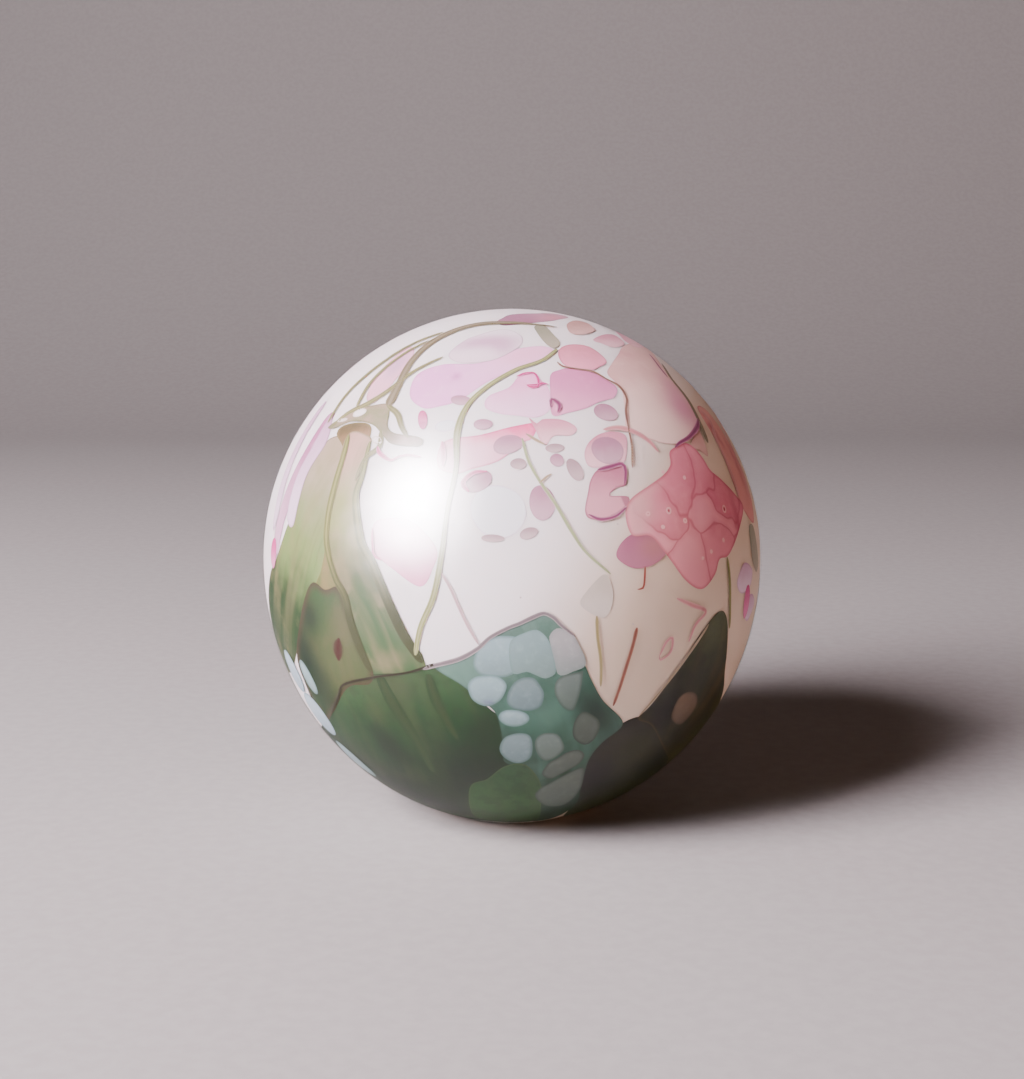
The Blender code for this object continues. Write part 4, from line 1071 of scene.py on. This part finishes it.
# %%
def satin_skin():
    mix = Recipe("clear_satin_skin")
    place = mix.place()
    swell = mix.add("ShaderNodeBump", {"Height": mix.noise(place, 14, 2), "Strength": 0.12, "Distance": 0.4 * MM})
    etch = mix.between(mix.noise(place, 6, 4, 0.6), 0.3, 0.7, 0.33, 0.39)
    gloss = mix.add("ShaderNodeBsdfGlossy", {
        "Color": linear("#ffffff"), "Roughness": etch, "Normal": swell.outputs[0]}, distribution="BECKMANN")
    clear = mix.add("ShaderNodeBsdfTransparent", {"Color": (0.99, 0.99, 0.99, 1)})
    share = mix.math("MINIMUM", mix.add("ShaderNodeFresnel", {"IOR": 1.33}).outputs[0], 0.03)
    surface = mix.add("ShaderNodeMixShader", {0: share, 1: clear.outputs[0], 2: gloss.outputs[0]})
    mix.add("ShaderNodeOutputMaterial", {"Surface": surface.outputs[0]})
    return mix.material


def ground_glass():
    """Flat-ground glass: matt, grey-white, with a fine grit."""
    mix = Recipe("ground_foot")
    place = mix.place()
    grit = mix.noise(place, 0.4, 5, 0.7)
    colour = mix.mix(mix.between(grit, 0.3, 0.7), linear("#cfcbc8"), linear("#e6e3e0"))
    bump = mix.add("ShaderNodeBump", {"Height": grit, "Strength": 0.3, "Distance": 0.05 * MM})
    return mix.finish(colour, 0.75, bump.outputs[0])


floor_angle = -math.degrees(math.asin(CENTRE.z / (RADIUS * STRETCH)))
SKIN_FOOT = 0.4 * MM
skin_profile = [*arc(0, 90, floor_angle + 1.2), (BASE_RIM - 0.02 * MM, SKIN_FOOT)]
turned("satin_skin", skin_profile, satin_skin(), ("clear_casing",))
foot_profile = [(BASE_RIM - 0.02 * MM, SKIN_FOOT), (BASE_RIM - 0.15 * MM, 0.05 * MM), (BASE_RIM - 0.4 * MM, 0.0),
                (COLLAR + 0.4 * MM, 0.0), (COLLAR + 0.1 * MM, 0.4 * MM)]
turned("ground_rim", foot_profile, ground_glass(), ())
print("skin and ground foot are on")

# %% [markdown]
# ## Floor, light and camera
# A plain pale sweep, one big soft window light from the left and a little above, a weak warm fill
# from the right, and a low grey sky so that the shadow side stays dark.

# %%
def pale_paper():
    mix = Recipe("pale_paper")
    grain = mix.noise(mix.place(), 3, 3)
    colour = mix.mix(mix.between(grain, 0.3, 0.7), linear("#9c9a97"), linear("#a19f9c"))
    return mix.finish(colour, 0.9)


def sweep():
    """A floor that turns up into a wall behind."""
    wall, turn = 1.2, 0.5
    profile = [(-1.6, 0.0), (wall - turn, 0.0)]
    profile += [(wall - turn + turn * math.sin(a), turn - turn * math.cos(a)) for a in np.linspace(0.1, math.pi / 2,
        12)]
    profile += [(wall, 2.2)]
    points = [(x, y, z) for y, z in profile for x in (-3.0, 3.0)]
    faces = [(2 * i, 2 * i + 1, 2 * i + 3, 2 * i + 2) for i in range(len(profile) - 1)]
    mesh = bpy.data.meshes.new("sweep")
    mesh.from_pydata(points, [], faces)
    made = add_object("sweep", mesh, pale_paper(), ride=False)


sweep()


def area_light(name, place, target, size, power, colour):
    light = bpy.data.lights.new(name, "AREA")
    light.shape = "RECTANGLE"
    light.size, light.size_y = size
    light.energy = power
    light.color = linear(colour)[:3]
    made = bpy.data.objects.new(name, light)
    made.location = place
    made.rotation_euler = (Vector(target) - Vector(place)).to_track_quat("-Z", "Y").to_euler()
    bpy.context.scene.collection.objects.link(made)
    return made


WINDOW_DISTANCE, GLINT_DISTANCE = 0.9, 0.85
WINDOW = Vector((-0.645, -0.54, 0.54))
GLINT = Vector((-0.655, -0.585, 0.478))
area_light("window", CENTRE + WINDOW * WINDOW_DISTANCE, CENTRE, (0.35, 0.45), 31, "#ffedf6")
area_light("warm_fill", CENTRE + Vector((1.2, -0.35, 0.15)), CENTRE, (0.6, 0.6), 3.6, "#ffb98c")
glint = area_light("window_glint", CENTRE + GLINT * GLINT_DISTANCE, CENTRE, (0.27, 0.42), 350, "#fff8fc")
glint.visible_diffuse = False
world = bpy.data.worlds.new("studio")
world.use_nodes = True
world.node_tree.nodes["Background"].inputs[0].default_value = linear("#9a999b")
world.node_tree.nodes["Background"].inputs[1].default_value = 0.03
bpy.context.scene.world = world

camera_data = bpy.data.cameras.new("camera")
camera_data.lens = 60
camera_data.sensor_width = 36
camera_data.shift_y = 0.0165
camera = bpy.data.objects.new("camera", camera_data)
elevation = math.radians(10)
CAMERA_DISTANCE = 0.363
camera.location = CENTRE + Vector((0, -math.cos(elevation), math.sin(elevation))) * CAMERA_DISTANCE
camera.rotation_euler = (math.pi / 2 - elevation, 0, 0)
bpy.context.scene.collection.objects.link(camera)
bpy.context.scene.camera = camera
print("lights and camera are set")
